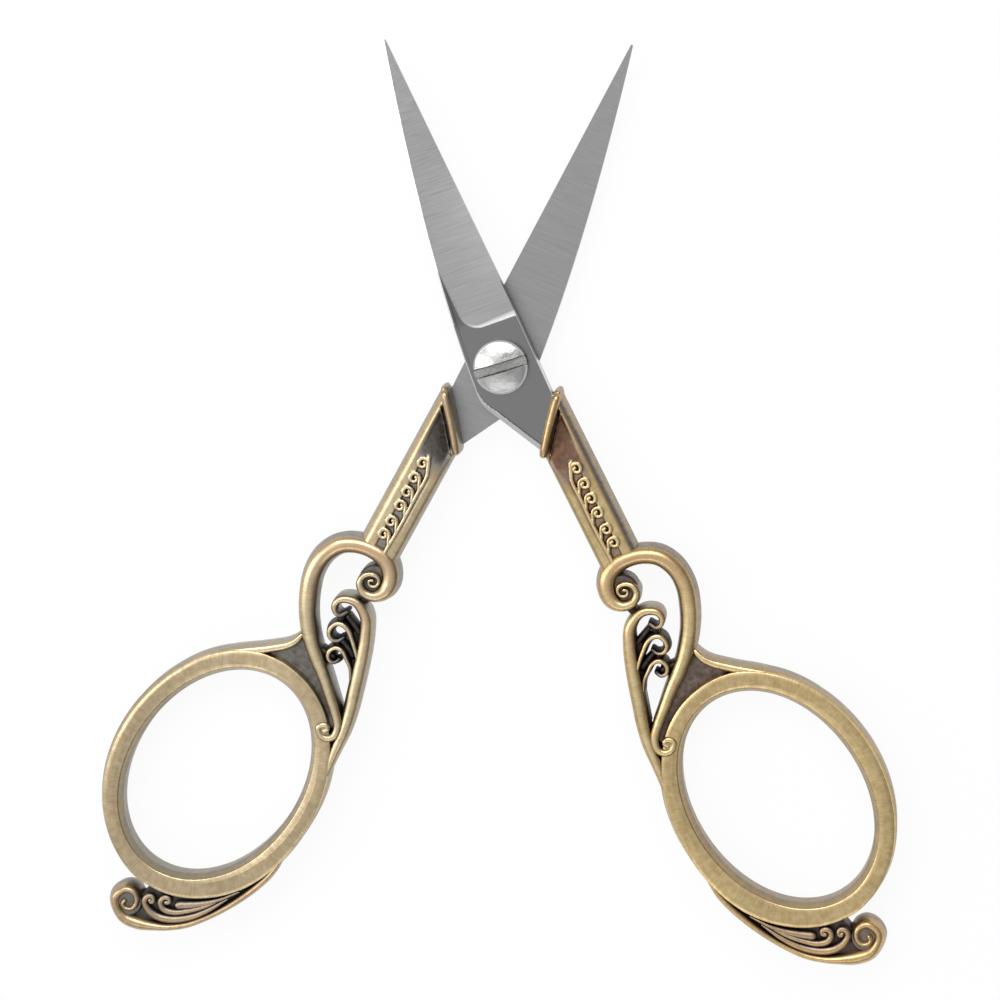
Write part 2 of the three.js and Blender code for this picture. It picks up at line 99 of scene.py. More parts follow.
def turn(axis, degrees):
    """The 3 x 3 matrix of a turn about the x, y or z axis: cosines on the diagonal, sines across it."""
    first, second = {"x": (1, 2), "y": (2, 0), "z": (0, 1)}[axis]
    cosine, sine = np.cos(np.radians(degrees)), np.sin(np.radians(degrees))
    matrix = np.eye(3)
    matrix[[first, second], [first, second]] = cosine
    matrix[first, second], matrix[second, first] = -sine, sine
    return matrix


def add_object(name, data):
    """A new object in the scene, unturned at the origin."""
    thing = bpy.data.objects.new(name, data)
    scene.collection.objects.link(thing)
    return thing


to_picture = turn("z", ROLL) @ turn("x", LEAN_BACK) @ turn("y", LEAN_SIDE)
camera_place = to_picture.T @ (np.array([0, 0, CAMERA_DISTANCE]) - PIVOT_IN_PICTURE)
camera_place[2] += pivot_height
camera = add_object("camera", bpy.data.cameras.new("camera"))
camera.matrix_world = Matrix.Translation(camera_place * MM) @ Matrix(to_picture.T.tolist()).to_4x4()
camera.data.sensor_width = SENSOR_WIDTH
camera.data.lens = SENSOR_WIDTH * CAMERA_DISTANCE / FIELD_WIDTH
scene.camera = camera
print("camera at", np.round(camera_place, 1), f"mm, lens {camera.data.lens:.1f} mm")

# %% [markdown]
# ## Colours and nodes
# Colours are written as the sRGB hex values that a colour picker shows. Blender's shaders work in linear
# light, so one function converts them. One more adds a shader node with its settings, fills its inputs with
# numbers, colours or links and gives its output. A few short names for the nodes that come up often keep
# each material readable.

# %% Colour and node helpers
def to_linear(code):
    """sRGB hex to linear RGBA: each channel is divided by 12.92 when dark, else raised to the power 2.4."""
    srgb = np.array([int(code[i : i + 2], 16) for i in (1, 3, 5)]) / 255
    linear = np.where(srgb <= 0.04045, srgb / 12.92, ((srgb + 0.055) / 1.055) ** 2.4)
    return (*linear.tolist(), 1.0)


def add_node(tree, kind, inputs=(), stops=(), give=0, **settings):
    """Adds one node: properties first, then the stops of a ramp, then each input as a hex colour, a value or
    a link. Gives the output asked for, if the node has any."""
    node = tree.nodes.new("ShaderNode" + kind)
    for key, value in settings.items():
        setattr(node, key, value)
    for number, (position, code) in enumerate(stops):
        ramp = node.color_ramp.elements
        stop = ramp[number] if number < 2 else ramp.new(position)
        stop.position, stop.color = position, to_linear(code)
    for key, value in dict(inputs).items():
        if isinstance(value, bpy.types.NodeSocket):
            tree.links.new(value, node.inputs[key])
        else:
            node.inputs[key].default_value = to_linear(value) if isinstance(value, str) else value
    return node.outputs[give] if node.outputs else None


def maths(tree, operation, *values, **settings):
    """The result of one operation on values."""
    return add_node(tree, "Math", dict(enumerate(values)), operation=operation, **settings)


def dot(tree, vector, along):
    """How far a vector reaches along another one."""
    return add_node(tree, "VectorMath", {0: vector, 1: along}, give="Value", operation="DOT_PRODUCT")


def remap(tree, value, old=(0.0, 1.0), new=(0.0, 1.0)):
    """A value carried from an old range to a new one and held at its ends."""
    ends = dict(zip(("From Min", "From Max", "To Min", "To Max"), (*old, *new)))
    return add_node(tree, "MapRange", {"Value": value, **ends})


def blend(tree, share, first, second, **settings):
    """Two colours mixed by a share."""
    return add_node(tree, "Mix", {0: share, 6: first, 7: second}, give=2, data_type="RGBA", **settings)


def noise(tree, where, size, detail=2.0):
    """Cloudy noise about a half, with blotches of about one size."""
    return add_node(tree, "TexNoise", {"Vector": where, "Scale": 1 / size, "Detail": detail})


def bump(tree, height, depth, strength, under=None):
    """Normals tilted by a height, on top of another bump where one is given."""
    below = {} if under is None else {"Normal": under}
    return add_node(tree, "Bump", {"Height": height, "Distance": depth, "Strength": strength, **below})


def new_material(name):
    """A named material with an empty node tree."""
    material = bpy.data.materials.new(name)
    material.use_nodes = True
    material.node_tree.nodes.clear()
    return material, material.node_tree


print("mid grey #808080 is", np.round(to_linear("#808080"), 3), "in linear light")

# %% [markdown]
# ## Studio
# The scissors lie on a large white sheet under soft boxes. The strongest one stands beyond the tips, so
# edges that lean that way shine, and the sky is darker on the right, so edges that lean there stay dark.
# Stronger lamps would whiten the sheet, and bleach the metal too. So the sheet shows plain white by itself,
# to the eye and to polished metal, and a small share of it is an ordinary matt surface, which keeps the
# object's faint shadow.

# %% Studio
SHEET_SIZE = 6.0
SHEET_WHITE = "#F4F4F4"
SHADOW_SHARE = 0.07
SEEN_BY = ("Camera", "Glossy", "Transmission")
SOFT_BOXES = {
    "key_box": ((-0.05, 0.34, 0.40), (0.50, 0.22), 1.5),
    "left_box": ((-0.42, 0.02, 0.34), (0.20, 0.50), 0.80),
    "low_box": ((0.0, -0.42, 0.36), (0.50, 0.16), 0.30),
}
SKY_LEAN = (-0.55, 0.10, 0.83)
SKY_RANGE = (-0.6, 1.0)
SKY_STOPS = [(0.0, "#3A3A3C"), (1.0, "#E4E4E6"), (0.38, "#A0A0A2"), (0.72, "#C8C8CA")]


def white_sheet():
    """White paper: emission of 1 to camera, glossy and transmission rays, with a share of matt white."""
    material, tree = new_material("white_paper_sheet")
    rays = [add_node(tree, "LightPath", give=f"Is {ray} Ray") for ray in SEEN_BY]
    seen = maths(tree, "MAXIMUM", maths(tree, "MAXIMUM", rays[0], rays[1]), rays[2])
    share = maths(tree, "MULTIPLY", seen, 1 - SHADOW_SHARE)
    matt = add_node(tree, "BsdfDiffuse", {"Color": SHEET_WHITE})
    glow = add_node(tree, "Emission", {"Color": (1, 1, 1, 1), "Strength": 1.0})
    paper = add_node(tree, "MixShader", {0: share, 1: matt, 2: glow})
    add_node(tree, "OutputMaterial", {"Surface": paper})
    return material


sheet_mesh = bpy.data.meshes.new("sheet")
sheet_level = cad_box[0][2]
sheet_corners = [(x * SHEET_SIZE / 2, y * SHEET_SIZE / 2) for x, y in ((-1, -1), (1, -1), (1, 1), (-1, 1))]
sheet_mesh.from_pydata([(x, y, sheet_level) for x, y in sheet_corners], [], [(0, 1, 2, 3)])
sheet_mesh.materials.append(white_sheet())
sheet = add_object("sheet", sheet_mesh)

for name, (place, size, power) in SOFT_BOXES.items():
    lamp = bpy.data.lights.new(name, "AREA")
    lamp.shape, lamp.size, lamp.size_y, lamp.energy = "RECTANGLE", *size, power
    aim = Vector(place).to_track_quat("Z", "Y").to_matrix().to_4x4()
    add_object(name, lamp).matrix_world = Matrix.Translation(place) @ aim

world = bpy.data.worlds.new("studio_sky")
world.use_nodes = True
sky_tree = world.node_tree
sky_tree.nodes.clear()
sky_view = add_node(sky_tree, "TexCoord", give="Generated")
sky_share = remap(sky_tree, dot(sky_tree, sky_view, SKY_LEAN), SKY_RANGE)
sky_colour = add_node(sky_tree, "ValToRGB", {0: sky_share}, SKY_STOPS)
sky = add_node(sky_tree, "Background", {"Color": sky_colour, "Strength": 1.0})
add_node(sky_tree, "OutputWorld", {"Surface": sky})
scene.world = world
print("soft boxes:", list(SOFT_BOXES), "sheet at", round(sheet_level / MM, 2), "mm")

# %% [markdown]
# ## Paths, grids and meshes
# Every new piece is a grid of points: rows along a path, columns round a closed section. Scrolls are drawn
# as a few rows of place and half width, and a smooth curve runs through them. One half of the scissors is
# drawn closed in its own plane, u to its handle's side, v to the tip and w up from between the blades. The
# front half is that half swung open, and the rear half is the same half turned over, so both come from one
# set of numbers.

# %% Half plane to frame
HALF_ANGLE = 20.95


def to_frame(points, half):
    """Half-plane millimetres to frame metres: swung by the half angle, turned over about +Y for the rear."""
    swung = points @ turn("z", HALF_ANGLE).T
    if half == "rear":
        swung = swung * (-1, 1, -1)
    return (swung + (0, 0, pivot_height)) * MM


def leaning(degrees):
    """Unit vectors of the u and v axes after a turn by an angle: (cosine, sine) and (-sine, cosine)."""
    return turn("z", degrees)[:2, :2].T


print("10 mm up the front half is", np.round(to_frame(np.array([0, 10, 0]), "front"), 4), "m")

# %% Smooth path
FINE_STEPS = 24
LEAST_STEPS = 4


def smooth_path(rows, step):
    """A centripetal Catmull-Rom curve through the rows, walked in even steps. Each stretch is the cubic that
    leaves one row and reaches the next along slopes that the neighbouring rows give."""
    rows = np.asarray(rows, float)
    padded = np.vstack([2 * rows[0] - rows[1], rows, 2 * rows[-1] - rows[-2]])
    gap = np.sqrt(np.linalg.norm(np.diff(padded[:, :2], axis=0), axis=1))[:, None]
    chord = np.diff(padded, axis=0) / gap
    slope = chord[:-1] + chord[1:] - (padded[2:] - padded[:-2]) / (gap[:-1] + gap[1:])
    t = np.linspace(0, 1, FINE_STEPS, endpoint=False)[None, :, None]
    leave, arrive = (slope[:-1] * gap[1:-1])[:, None], (slope[1:] * gap[1:-1])[:, None]
    curve = (2 * t**3 - 3 * t**2 + 1) * rows[:-1, None] + (t**3 - 2 * t**2 + t) * leave
    curve = curve + (3 * t**2 - 2 * t**3) * rows[1:, None] + (t**3 - t**2) * arrive
    curve = np.vstack([curve.reshape(-1, rows.shape[1]), rows[-1:]])
    length = np.append(0, np.cumsum(np.linalg.norm(np.diff(curve[:, :2], axis=0), axis=1)))
    walked = np.linspace(0, length[-1], max(int(length[-1] / step), LEAST_STEPS) + 1)
    return np.stack([np.interp(walked, length, column) for column in curve.T], axis=1)


def unit(vectors):
    """Vectors divided by their lengths."""
    return vectors / np.linalg.norm(vectors, axis=-1, keepdims=True)


def headings(path):
    """Unit directions along a path of (u, v) rows, and the unit sides to their right."""
    along = unit(np.gradient(path[:, :2], axis=0))
    return along, np.stack([along[:, 1], -along[:, 0]], axis=1)


print("a curve through three rows takes", len(smooth_path([(1, 0), (0.7, 0.7), (0, 1)], 0.1)), "points")

# %% Grids
def raised(plan, level):
    """A grid of (u, v) places lifted to their levels."""
    return np.concatenate([plan, np.broadcast_to(level, plan.shape[:2])[..., None]], axis=2)


def both_faces(top):
    """An upper face, then its mirror image below the parting line with the columns run backwards."""
    return np.concatenate([top, top[:, ::-1] * (1, 1, -1)], axis=1)


def circle(count):
    """Points round a circle of radius 1."""
    angle = np.radians(np.linspace(0, 360, count, endpoint=False))
    return np.stack([np.cos(angle), np.sin(angle)], axis=1)


def surface(points, rub, warm=0.0, ring=False, cap=None):
    """A grid of points with closed columns. rub says how far the finish is polished off: 1 on crests, 0 on
    walls, -1 in hollows, and in places it carries painted light and shade as well. warm says where the
    plating is worn to copper, and on steel it carries painted highlights. A cap repeats the first and the
    last row at one level, which closes the ends."""
    full = np.ones(points.shape[:2])
    grid = {"points": points, "rub": rub * full, "warm": warm * full}
    if cap is not None:
        grid = {key: values[np.r_[0, 0 : len(full), len(full) - 1]] for key, values in grid.items()}
        grid["points"][[0, -1], :, 2] = cap
    return {**grid, "ring": ring}


def tell(name, grids):
    """Prints how large a part is along u, v and w, and gives the part back."""
    points = np.vstack([grid["points"].reshape(-1, 3) for grid in grids])
    print(f"{name}: {len(grids)} grids,", np.round(np.ptp(points, axis=0), 1), "mm")
    return grids


rim_and_pole = np.array([1.0, 0.0])[:, None, None] * circle(8)
plain_disc = tell("a plain disc", [surface(raised(rim_and_pole, 0.0), 0.0)])

# %% Grid to mesh
MERGE_DISTANCE = 2e-6
SHARP_ANGLE = 38.0


def lengths(points, axis):
    """Mean distance walked along one axis of the grid to each row or column, and round to the first."""
    steps = np.linalg.norm(np.roll(points, -1, axis=axis) - points, axis=2).mean(axis=1 - axis)
    return np.append(0, np.cumsum(steps))


def quads(grid, start):
    """Corner numbers of the faces between neighbouring rows and columns, and their places in millimetres."""
    rows, columns = grid["points"].shape[:2]
    i, j = np.meshgrid(np.arange(rows if grid["ring"] else rows - 1), np.arange(columns), indexing="ij")
    corners = [(i, j), (i, j + 1), (i + 1, j + 1), (i + 1, j)]
    faces = np.stack([start + (a % rows) * columns + b % columns for a, b in corners], axis=2)
    along, around = lengths(grid["points"], 0), lengths(grid["points"], 1)
    places = np.stack([np.stack([along[a], around[b]], axis=2) for a, b in corners], axis=2)
    return faces.reshape(-1, 4), places.reshape(-1, 2)


def make_piece(name, half, grids, material, node):
    """One mesh from one or more grids: doubles merged, normals outward, riding on the half it belongs to."""
    counts = np.cumsum([0] + [grid["rub"].size for grid in grids])
    faces, places = zip(*[quads(grid, start) for grid, start in zip(grids, counts)])
    points = np.vstack([grid["points"].reshape(-1, 3) for grid in grids])
    mesh = bpy.data.meshes.new(name)
    mesh.from_pydata(to_frame(points, half), [], np.vstack(faces).tolist())
    mesh.uv_layers.new(name="surface_mm").data.foreach_set("uv", np.vstack(places).ravel())
    for key in ("rub", "warm"):
        values = np.concatenate([grid[key].ravel() for grid in grids])
        mesh.attributes.new(key, "FLOAT", "POINT").data.foreach_set("value", values)
    shape = bmesh.new()
    shape.from_mesh(mesh)
    bmesh.ops.remove_doubles(shape, verts=shape.verts, dist=MERGE_DISTANCE)
    bmesh.ops.recalc_face_normals(shape, faces=shape.faces)
    shape.to_mesh(mesh)
    shape.free()
    mesh.shade_smooth()
    mesh.set_sharp_from_angle(angle=np.radians(SHARP_ANGLE))
    mesh.materials.append(material)
    piece = add_object(name, mesh)
    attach(piece, f"{half}_half")
    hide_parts(node)
    print(f"{name}: {len(mesh.vertices)} points, {len(mesh.polygons)} faces")
    return piece


print("the disc's grid has", len(quads(plain_disc[0], 0)[0]), "faces")

# %% Rod along a scroll
ROD_STEP = 0.2
DOME_ANGLE = 78.0
DOME_POINTS = 13
CROWN_SHARE = 0.8
CROWN_LIMIT = 0.8
WALL_DRAFT = 0.22
ROUND_END = np.radians(np.linspace(0, 90, 7))[1:]


def filled(rows):
    """Rows of a rod with all five columns: full height and no change of rub where a row leaves them out."""
    return np.array([[*row, *(1.0, 0.0)[len(row) - 3 :]] for row in rows], float)


def rod(rows, height, crown=CROWN_SHARE, draft=WALL_DRAFT, crest=0.85, wall=0.0, warm=0.0, fade=0.8):
    """A cast rod along rows of (u, v, half width, share of height, change of rub). Across, an arc from
    -DOME_ANGLE to DOME_ANGLE makes the crown, walls lean out by the draft down to the parting line, and the
    same lies below it. Both ends close in round caps. rub runs from the wall's value to the crest's by the
    rise to the power of the fade, and the darker walls are partly painted shade."""
    path = smooth_path(filled(rows), ROD_STEP)
    along, side = headings(path)
    reach, shrink = np.sin(ROUND_END)[:, None], np.cos(ROUND_END)
    half, tall = path[:, 2], height * path[:, 3]
    head = path[0, :2] - along[0] * half[0] * reach[::-1]
    tail = path[-1, :2] + along[-1] * half[-1] * reach
    centre = np.vstack([head, path[:, :2], tail])[:, None]
    sides = np.pad(side, ((len(reach), len(reach)), (0, 0)), mode="edge")[:, None]
    head_fall, tail_fall = crown * half[0] * (1 - shrink[::-1]), crown * half[-1] * (1 - shrink)
    tall = np.concatenate([tall[0] - head_fall, tall, tall[-1] - tail_fall])[:, None]
    half = np.concatenate([half[0] * shrink[::-1], half, half[-1] * shrink])[:, None]
    dull = np.pad(path[:, 4], len(reach), mode="edge")[:, None]
    arc = np.radians(np.linspace(-DOME_ANGLE, DOME_ANGLE, DOME_POINTS))
    across = np.sin(arc) / np.sin(arc[-1])
    rise = (np.cos(arc) - np.cos(arc[-1])) / (1 - np.cos(arc[-1]))
    across = np.concatenate([[-1 - draft], across, [1 + draft], across[::-1]])
    upper = np.concatenate([[0], np.ones(DOME_POINTS), [0], -np.ones(DOME_POINTS)])
    rise = np.concatenate([[0], rise, [0], rise[::-1]])
    top = np.minimum(crown * half, CROWN_LIMIT * tall)
    points = raised(centre + sides * (half * across)[..., None], upper * (tall - top + top * rise))
    worn = np.interp(np.linspace(0, 1, len(points)), np.linspace(0, 1, np.size(warm)), np.ravel(warm))
    # rub from wall to crest; the darker walls are partly painted shade
    return surface(points, wall + (crest - wall) * rise**fade + dull, worn[:, None] * rise)


tell("a straight rod", [rod([(0, 0, 0.5), (4, 0, 0.5)], 1.0)])

# %% Plates and discs
PLATE_SHARE = np.array([0.0, 0.0, 0.05, 0.15, 1.0, 1.0])
PLATE_LIFT = np.array([0.0, 0.7, 0.925, 1.0, 1.0, 0.0])
DISC_SPREAD = np.array([1.0, 1.0, 0.9, 0.6, 0.3, 0.0])
DISC_LIFT = np.array([0.0, 0.85, 1.0, 1.0, 1.0, 1.0])
DISC_COLUMNS = 24


def plate(first, second, level, rub):
    """A flat plate ruled between two paths with equal numbers of rows: across it, the edge rises from the
    parting line, rounds over and runs level to the other edge. It is mirrored below and closed."""
    share = np.concatenate([PLATE_SHARE, PLATE_SHARE[-2:0:-1]])
    lift = np.concatenate([PLATE_LIFT, -PLATE_LIFT[-2:0:-1]])
    plan = first[:, None, :2] + (second - first)[:, None, :2] * share[None, :, None]
    return surface(raised(plan, level * lift), rub, cap=0.0)


def disc(centre, radius, level, rub):
    """A round plate: rings from its upper pole out to its rim and back to the pole below."""
    spread = np.concatenate([DISC_SPREAD[::-1], DISC_SPREAD[1:]])
    lift = np.concatenate([DISC_LIFT[::-1], -DISC_LIFT[1:]])
    plan = centre + radius * spread[:, None, None] * circle(DISC_COLUMNS)
    return surface(raised(plan, (level * lift)[:, None]), rub)


tell("a disc of radius 2", [disc(np.zeros(2), 2.0, 1.0, 0.0)])

# %% [markdown]
# ## Antique brass
# The handles are cast in a zinc alloy and plated with antique brass: the plating is darkened all over, then
# buffed. The buff takes the dark off the crests, which turn gold, leaves the walls grey-brown and never
# reaches the hollows; the grey of the walls is partly painted shade as well. The front half is browner and
# the rear one a colder grey. A picture of all that could be painted. Here each grid carries how far it was
# rubbed, with painted light and shade added in places, and the shader turns that into colour, roughness and
# the fine scratches that the buff leaves across the work, with one ramp for each half.

# %% Antique brass
COLD_HALF_STOPS = ("#181818", "#5C5A55", "#8F8C85")
BROWN_HALF_STOPS = ("#1C1715", "#584D47", "#8E847A")
OLIVE = "#BAA276"
CREST = "#E6D2A6"
COPPER = "#CA8C60"
HALVES_BLEND_MM = 4.0
HALVES_VIVID = (0.87, 1.05)
CLOUD_MM = 11.0
CLOUD_RANGE = (0.3, 0.7)
CLOUD_SHINE = (0.95, 1.2)
# painted shade: the colour darkens a little towards the far lower-left corner
FAR_CORNER_MM = (-90.0, -60.0)
FAR_CORNER_SHADE = (0.88, 1.02)
MOTTLE_MM = 0.7
MOTTLE_DETAIL = 4.0
MOTTLE_SHARE = 0.55
SCRATCH_MM = (0.14, 1.6)
SCRATCH_DETAIL = 3.0
SCRATCH_TURN = 8.0
SCRATCH_SHARE = 0.4
# painted shade and patina in crevices, from the occlusion below
CREVICE_MM = 0.7
CREVICE_SHADE_STOPS = [(0.15, "#7C6E62"), (0.72, "#FFFFFF")]
CAST_GRAIN_MM = 0.16
RELIEF_MM = 0.02
RELIEF_STRENGTH = 0.25
DULL_TO_BUFFED = (0.55, 0.27)


def finish_values(tree):
    """The rub and warm values that a grid carries."""
    return [add_node(tree, "Attribute", give="Fac", attribute_name=name) for name in ("rub", "warm")]


def scratches(tree, size, degrees):
    """Noise stretched over the surface's own millimetres into lines of one width and length."""
    walk = add_node(tree, "UVMap", uv_map="surface_mm")
    turned = (0, 0, np.radians(degrees))
    scale = (1 / size[0], 1 / size[1], 1.0)
    stretch = add_node(tree, "Mapping", {"Vector": walk, "Rotation": turned, "Scale": scale})
    return noise(tree, stretch, 1.0, SCRATCH_DETAIL)


def metal(tree, colour, rough, normal):
    """Ends a material in the shader of a bare metal."""
    look = {"Base Color": colour, "Metallic": 1.0, "Roughness": rough, "Normal": normal}
    add_node(tree, "OutputMaterial", {"Surface": add_node(tree, "BsdfPrincipled", look)})


def antique_brass():
    """Plated and buffed casting: a ramp over the rubbed share for each half, mixed across the middle, shaded
    in clouds, darker towards the far corner as painted shade, reddened where it is worn and darkened by
    painted shade and patina where neighbours close in."""
    material, tree = new_material("antique_brass_buffed_casting")
    place = add_node(tree, "TexCoord", give="Object")
    rubbed, warm = finish_values(tree)
    mottle = noise(tree, place, MOTTLE_MM * MM, MOTTLE_DETAIL)
    scratch = scratches(tree, SCRATCH_MM, SCRATCH_TURN)
    for pattern, strength in ((mottle, MOTTLE_SHARE), (scratch, SCRATCH_SHARE)):
        rubbed = maths(tree, "MULTIPLY_ADD", maths(tree, "SUBTRACT", pattern, 0.5), strength, rubbed)
    share = remap(tree, rubbed, (-1.0, 1.0))
    ramps = []
    for hollow, shade, wall in (COLD_HALF_STOPS, BROWN_HALF_STOPS):
        stops = [(0.0, hollow), (1.0, CREST), (0.3, shade), (0.5, wall), (0.78, OLIVE)]
        ramps.append(add_node(tree, "ValToRGB", {0: share}, stops))
    middle = (-HALVES_BLEND_MM * MM, HALVES_BLEND_MM * MM)
    sideways = dot(tree, place, (1, 0, 0))
    plated = blend(tree, remap(tree, sideways, middle), *ramps)
    vivid = remap(tree, sideways, middle, HALVES_VIVID)
    # painted shade, darker towards the far lower-left corner
    corner_painted_shade = remap(tree, dot(tree, place, (1, 1, 0)), [far * MM for far in FAR_CORNER_MM], FAR_CORNER_SHADE)
    cloud_shine = remap(tree, noise(tree, place, CLOUD_MM * MM), CLOUD_RANGE, CLOUD_SHINE)
    shine = maths(tree, "MULTIPLY", cloud_shine, corner_painted_shade)
    toned = add_node(tree, "HueSaturation", {"Saturation": vivid, "Value": shine, "Color": plated})
    coppery = blend(tree, maths(tree, "MULTIPLY", warm, mottle), toned, COPPER)
    # painted shade with patina: occlusion darkens the colour where neighbouring surfaces close in
    openness = add_node(tree, "AmbientOcclusion", {"Distance": CREVICE_MM * MM}, give="AO", samples=8)
    crevice_shade = add_node(tree, "ValToRGB", {0: openness}, CREVICE_SHADE_STOPS)
    colour = blend(tree, 1.0, coppery, crevice_shade, blend_type="MULTIPLY")
    relief = bump(tree, scratch, RELIEF_MM * MM, RELIEF_STRENGTH)
    relief = bump(tree, noise(tree, place, CAST_GRAIN_MM * MM), RELIEF_MM * MM, RELIEF_STRENGTH, relief)
    metal(tree, colour, remap(tree, share, new=DULL_TO_BUFFED), relief)
    return material


brass = antique_brass()
print("made", brass.name, "with", len(brass.node_tree.nodes), "nodes")

# %% [markdown]
# ## Collar and shank
# The collar is a half-round lip that caps the end of the shank where the blade goes in. The shank is a
# straight bar, scooped hollow under the collar, with a vine cast in its face: a sunken panel, a stem along
# it and six curls. Cutting the vine with booleans would make hundreds of small pieces. It is easier to raise
# a fine grid by a height worked out from the distance to each curl's line. Each half has its own numbers for
# the light painted on its outer bevel, shade on the front and a highlight on the rear, and for its hollows.

# %% Collar and shank lines
COLLAR_LEAN = 33.0
COLLAR_DISTANCE = 6.74
COLLAR_SLIDE = 5.16
COLLAR_SPAN = 6.58
COLLAR_WIDTH = 1.04
COLLAR_THICK = 4.9
SHANK_LEAN = 6.6
SHANK_SHIFT = 0.32
SHANK_LENGTH = 16.8
SHANK_SIDES = (-2.52, 2.42)

collar_across, collar_along = -leaning(-COLLAR_LEAN)
collar_middle = COLLAR_SLIDE * collar_along - COLLAR_DISTANCE * collar_across
shank_side, shank_up = leaning(SHANK_LEAN)
shank_top = collar_middle + SHANK_SHIFT * shank_side
foot = shank_top - SHANK_LENGTH * shank_up
print("collar's middle", np.round(collar_middle, 2), "foot of the shank", np.round(foot, 2))

# %% Collar
COLLAR_ROWS = [
    (-0.565, -0.03, 0.38, 0.74), (-0.55, -0.03, 0.45, 0.84), (-0.525, -0.03, 0.5, 0.91),
    (-0.485, -0.01, 0.53, 0.96), (-0.43, 0.01, 0.54, 0.985), (-0.35, 0.03, 0.54, 1.0),
    (-0.2, 0.05, 0.53, 1.0), (0.0, 0.07, 0.52, 1.0), (0.25, 0.05, 0.51, 1.0), (0.45, 0.0, 0.48, 0.98),
    (0.5, -0.02, 0.44, 0.94),
]


def collar():
    """A slightly bowed rod along the collar's line: share of span, bow, half width, share of height."""
    rows = np.array(COLLAR_ROWS)
    place = collar_middle + collar_along * COLLAR_SPAN * rows[:, :1] + collar_across * rows[:, 1:2]
    rows = np.column_stack([place, rows[:, 2:]])
    return rod(rows, COLLAR_THICK / 2, crown=1.3, crest=0.55, wall=0.1, warm=0.15)


handle_parts = {"collar": tell("collar", [collar()])}

# %% Bands and lines
def ease(values):
    """0 below 0, 1 above 1 and the smooth step 3x^2 - 2x^3 between."""
    share = np.clip(values, 0, 1)
    return share * share * (3 - 2 * share)


def after(values, start, rise):
    """0 up to a start, eased to 1 over the rise that follows."""
    return ease((values - start) / rise)


def before(values, end, fall):
    """0 from an end on, eased to 1 over the fall that comes before it."""
    return ease((end - values) / fall)


def band(values, start, rise, end, fall):
    """1 between two places, eased to 0 at both."""
    return after(values, start, rise) * before(values, end, fall)


def tent(values, centre, reach):
    """1 at a centre, falling straight to 0 at a reach on either side."""
    return np.clip(1 - np.abs(values - centre) / reach, 0, 1)


def nearest(points, line):
    """Distance from each point to the closest point of a finely drawn line."""
    return np.sqrt(((points[..., None, :] - line) ** 2).sum(axis=-1).min(axis=-1))


print("a quarter of the way up a rise, the smooth step has come", ease(0.25))

# %% Vine in a sunken panel
FACE_LEVEL = 2.0
PANEL_EDGE = 0.58
PANEL_SLOPE = 0.25
PANEL_HEAD = (-12.5, 0.5)
VINE_HEAD = (-12.2, 0.4)
VINE_HALF_WIDTH = 0.25
GRIME_WIDTH = 0.16
LINE_STEP = 0.05
STEM_LINE = [
    (3.74, -12.2), (3.5, -12.85), (3.33, -13.4), (3.17, -14.0), (3.07, -14.8), (3.14, -15.6),
    (3.27, -16.4), (3.44, -18.1), (3.61, -19.9), (3.87, -21.9), (4.14, -23.6), (4.25, -24.4),
]
CURL_CENTRES = [
    (3.96, -13.36), (4.22, -15.26), (4.36, -17.06), (4.53, -18.8), (4.79, -20.84), (5.06, -22.5),
]
CURL_LINE = [
    (-0.92, -1.1), (-0.7, -0.55), (-0.57, 0.02), (-0.36, 0.4), (0.03, 0.53), (0.4, 0.36), (0.52, -0.03),
    (0.36, -0.38), (0.02, -0.47), (-0.24, -0.28), (-0.24, 0.02), (-0.06, 0.1),
]

vine_stem = smooth_path(STEM_LINE, LINE_STEP)
vine_curls = np.array(CURL_CENTRES)[:, None] + smooth_path(CURL_LINE, LINE_STEP)
vine_line = np.vstack([vine_stem, vine_curls.reshape(-1, 2)])


def panel(plan, side):
    """1 in the panel, which lies between the stem and a straight edge and begins below its head."""
    stem_side = np.interp(plan[..., 1], vine_stem[::-1, 1], vine_stem[::-1, 0])
    share = after(plan[..., 0], stem_side, PANEL_SLOPE) * before(side, PANEL_EDGE, PANEL_SLOPE)
    return share * before(plan[..., 1], *PANEL_HEAD)


def vine(plan):
    """Half-round ridges along the vine's lines, and the grime that stays beside them."""
    away = nearest(plan, vine_line)
    below = before(plan[..., 1], *VINE_HEAD)
    ridge = np.sqrt(np.clip(1 - (away / VINE_HALF_WIDTH) ** 2, 0, 1))
    grime = np.clip(1 - (away - VINE_HALF_WIDTH) / GRIME_WIDTH, 0, 1)
    return ridge * below, grime * below


print("the vine is drawn with", len(vine_line), "points")

# %% Shank
SHANK_ROWS = 280
SHANK_COLUMNS = 96
SHANK_PROFILE = [
    (-2.52, 0.15, 0.0), (-2.44, 0.95, 0.1), (-2.34, 1.45, 0.2), (-2.15, 1.75, 0.5), (-1.9, 1.89, 0.72),
    (-1.6, 1.94, 0.72), (-1.0, 1.97, 0.7), (0.0, 2.0, 0.7), (0.8, 1.99, 0.7), (1.3, 1.97, 0.7),
    (1.45, 1.945, 0.66), (1.58, 1.895, 0.55), (1.7, 1.82, 0.3), (1.95, 1.6, 0.15), (2.12, 1.35, 0.2),
    (2.25, 1.0, 0.2), (2.35, 0.6, 0.1), (2.42, 0.15, 0.0),
]
CORNER_START = 1.6
CORNER_FALL = 1.3
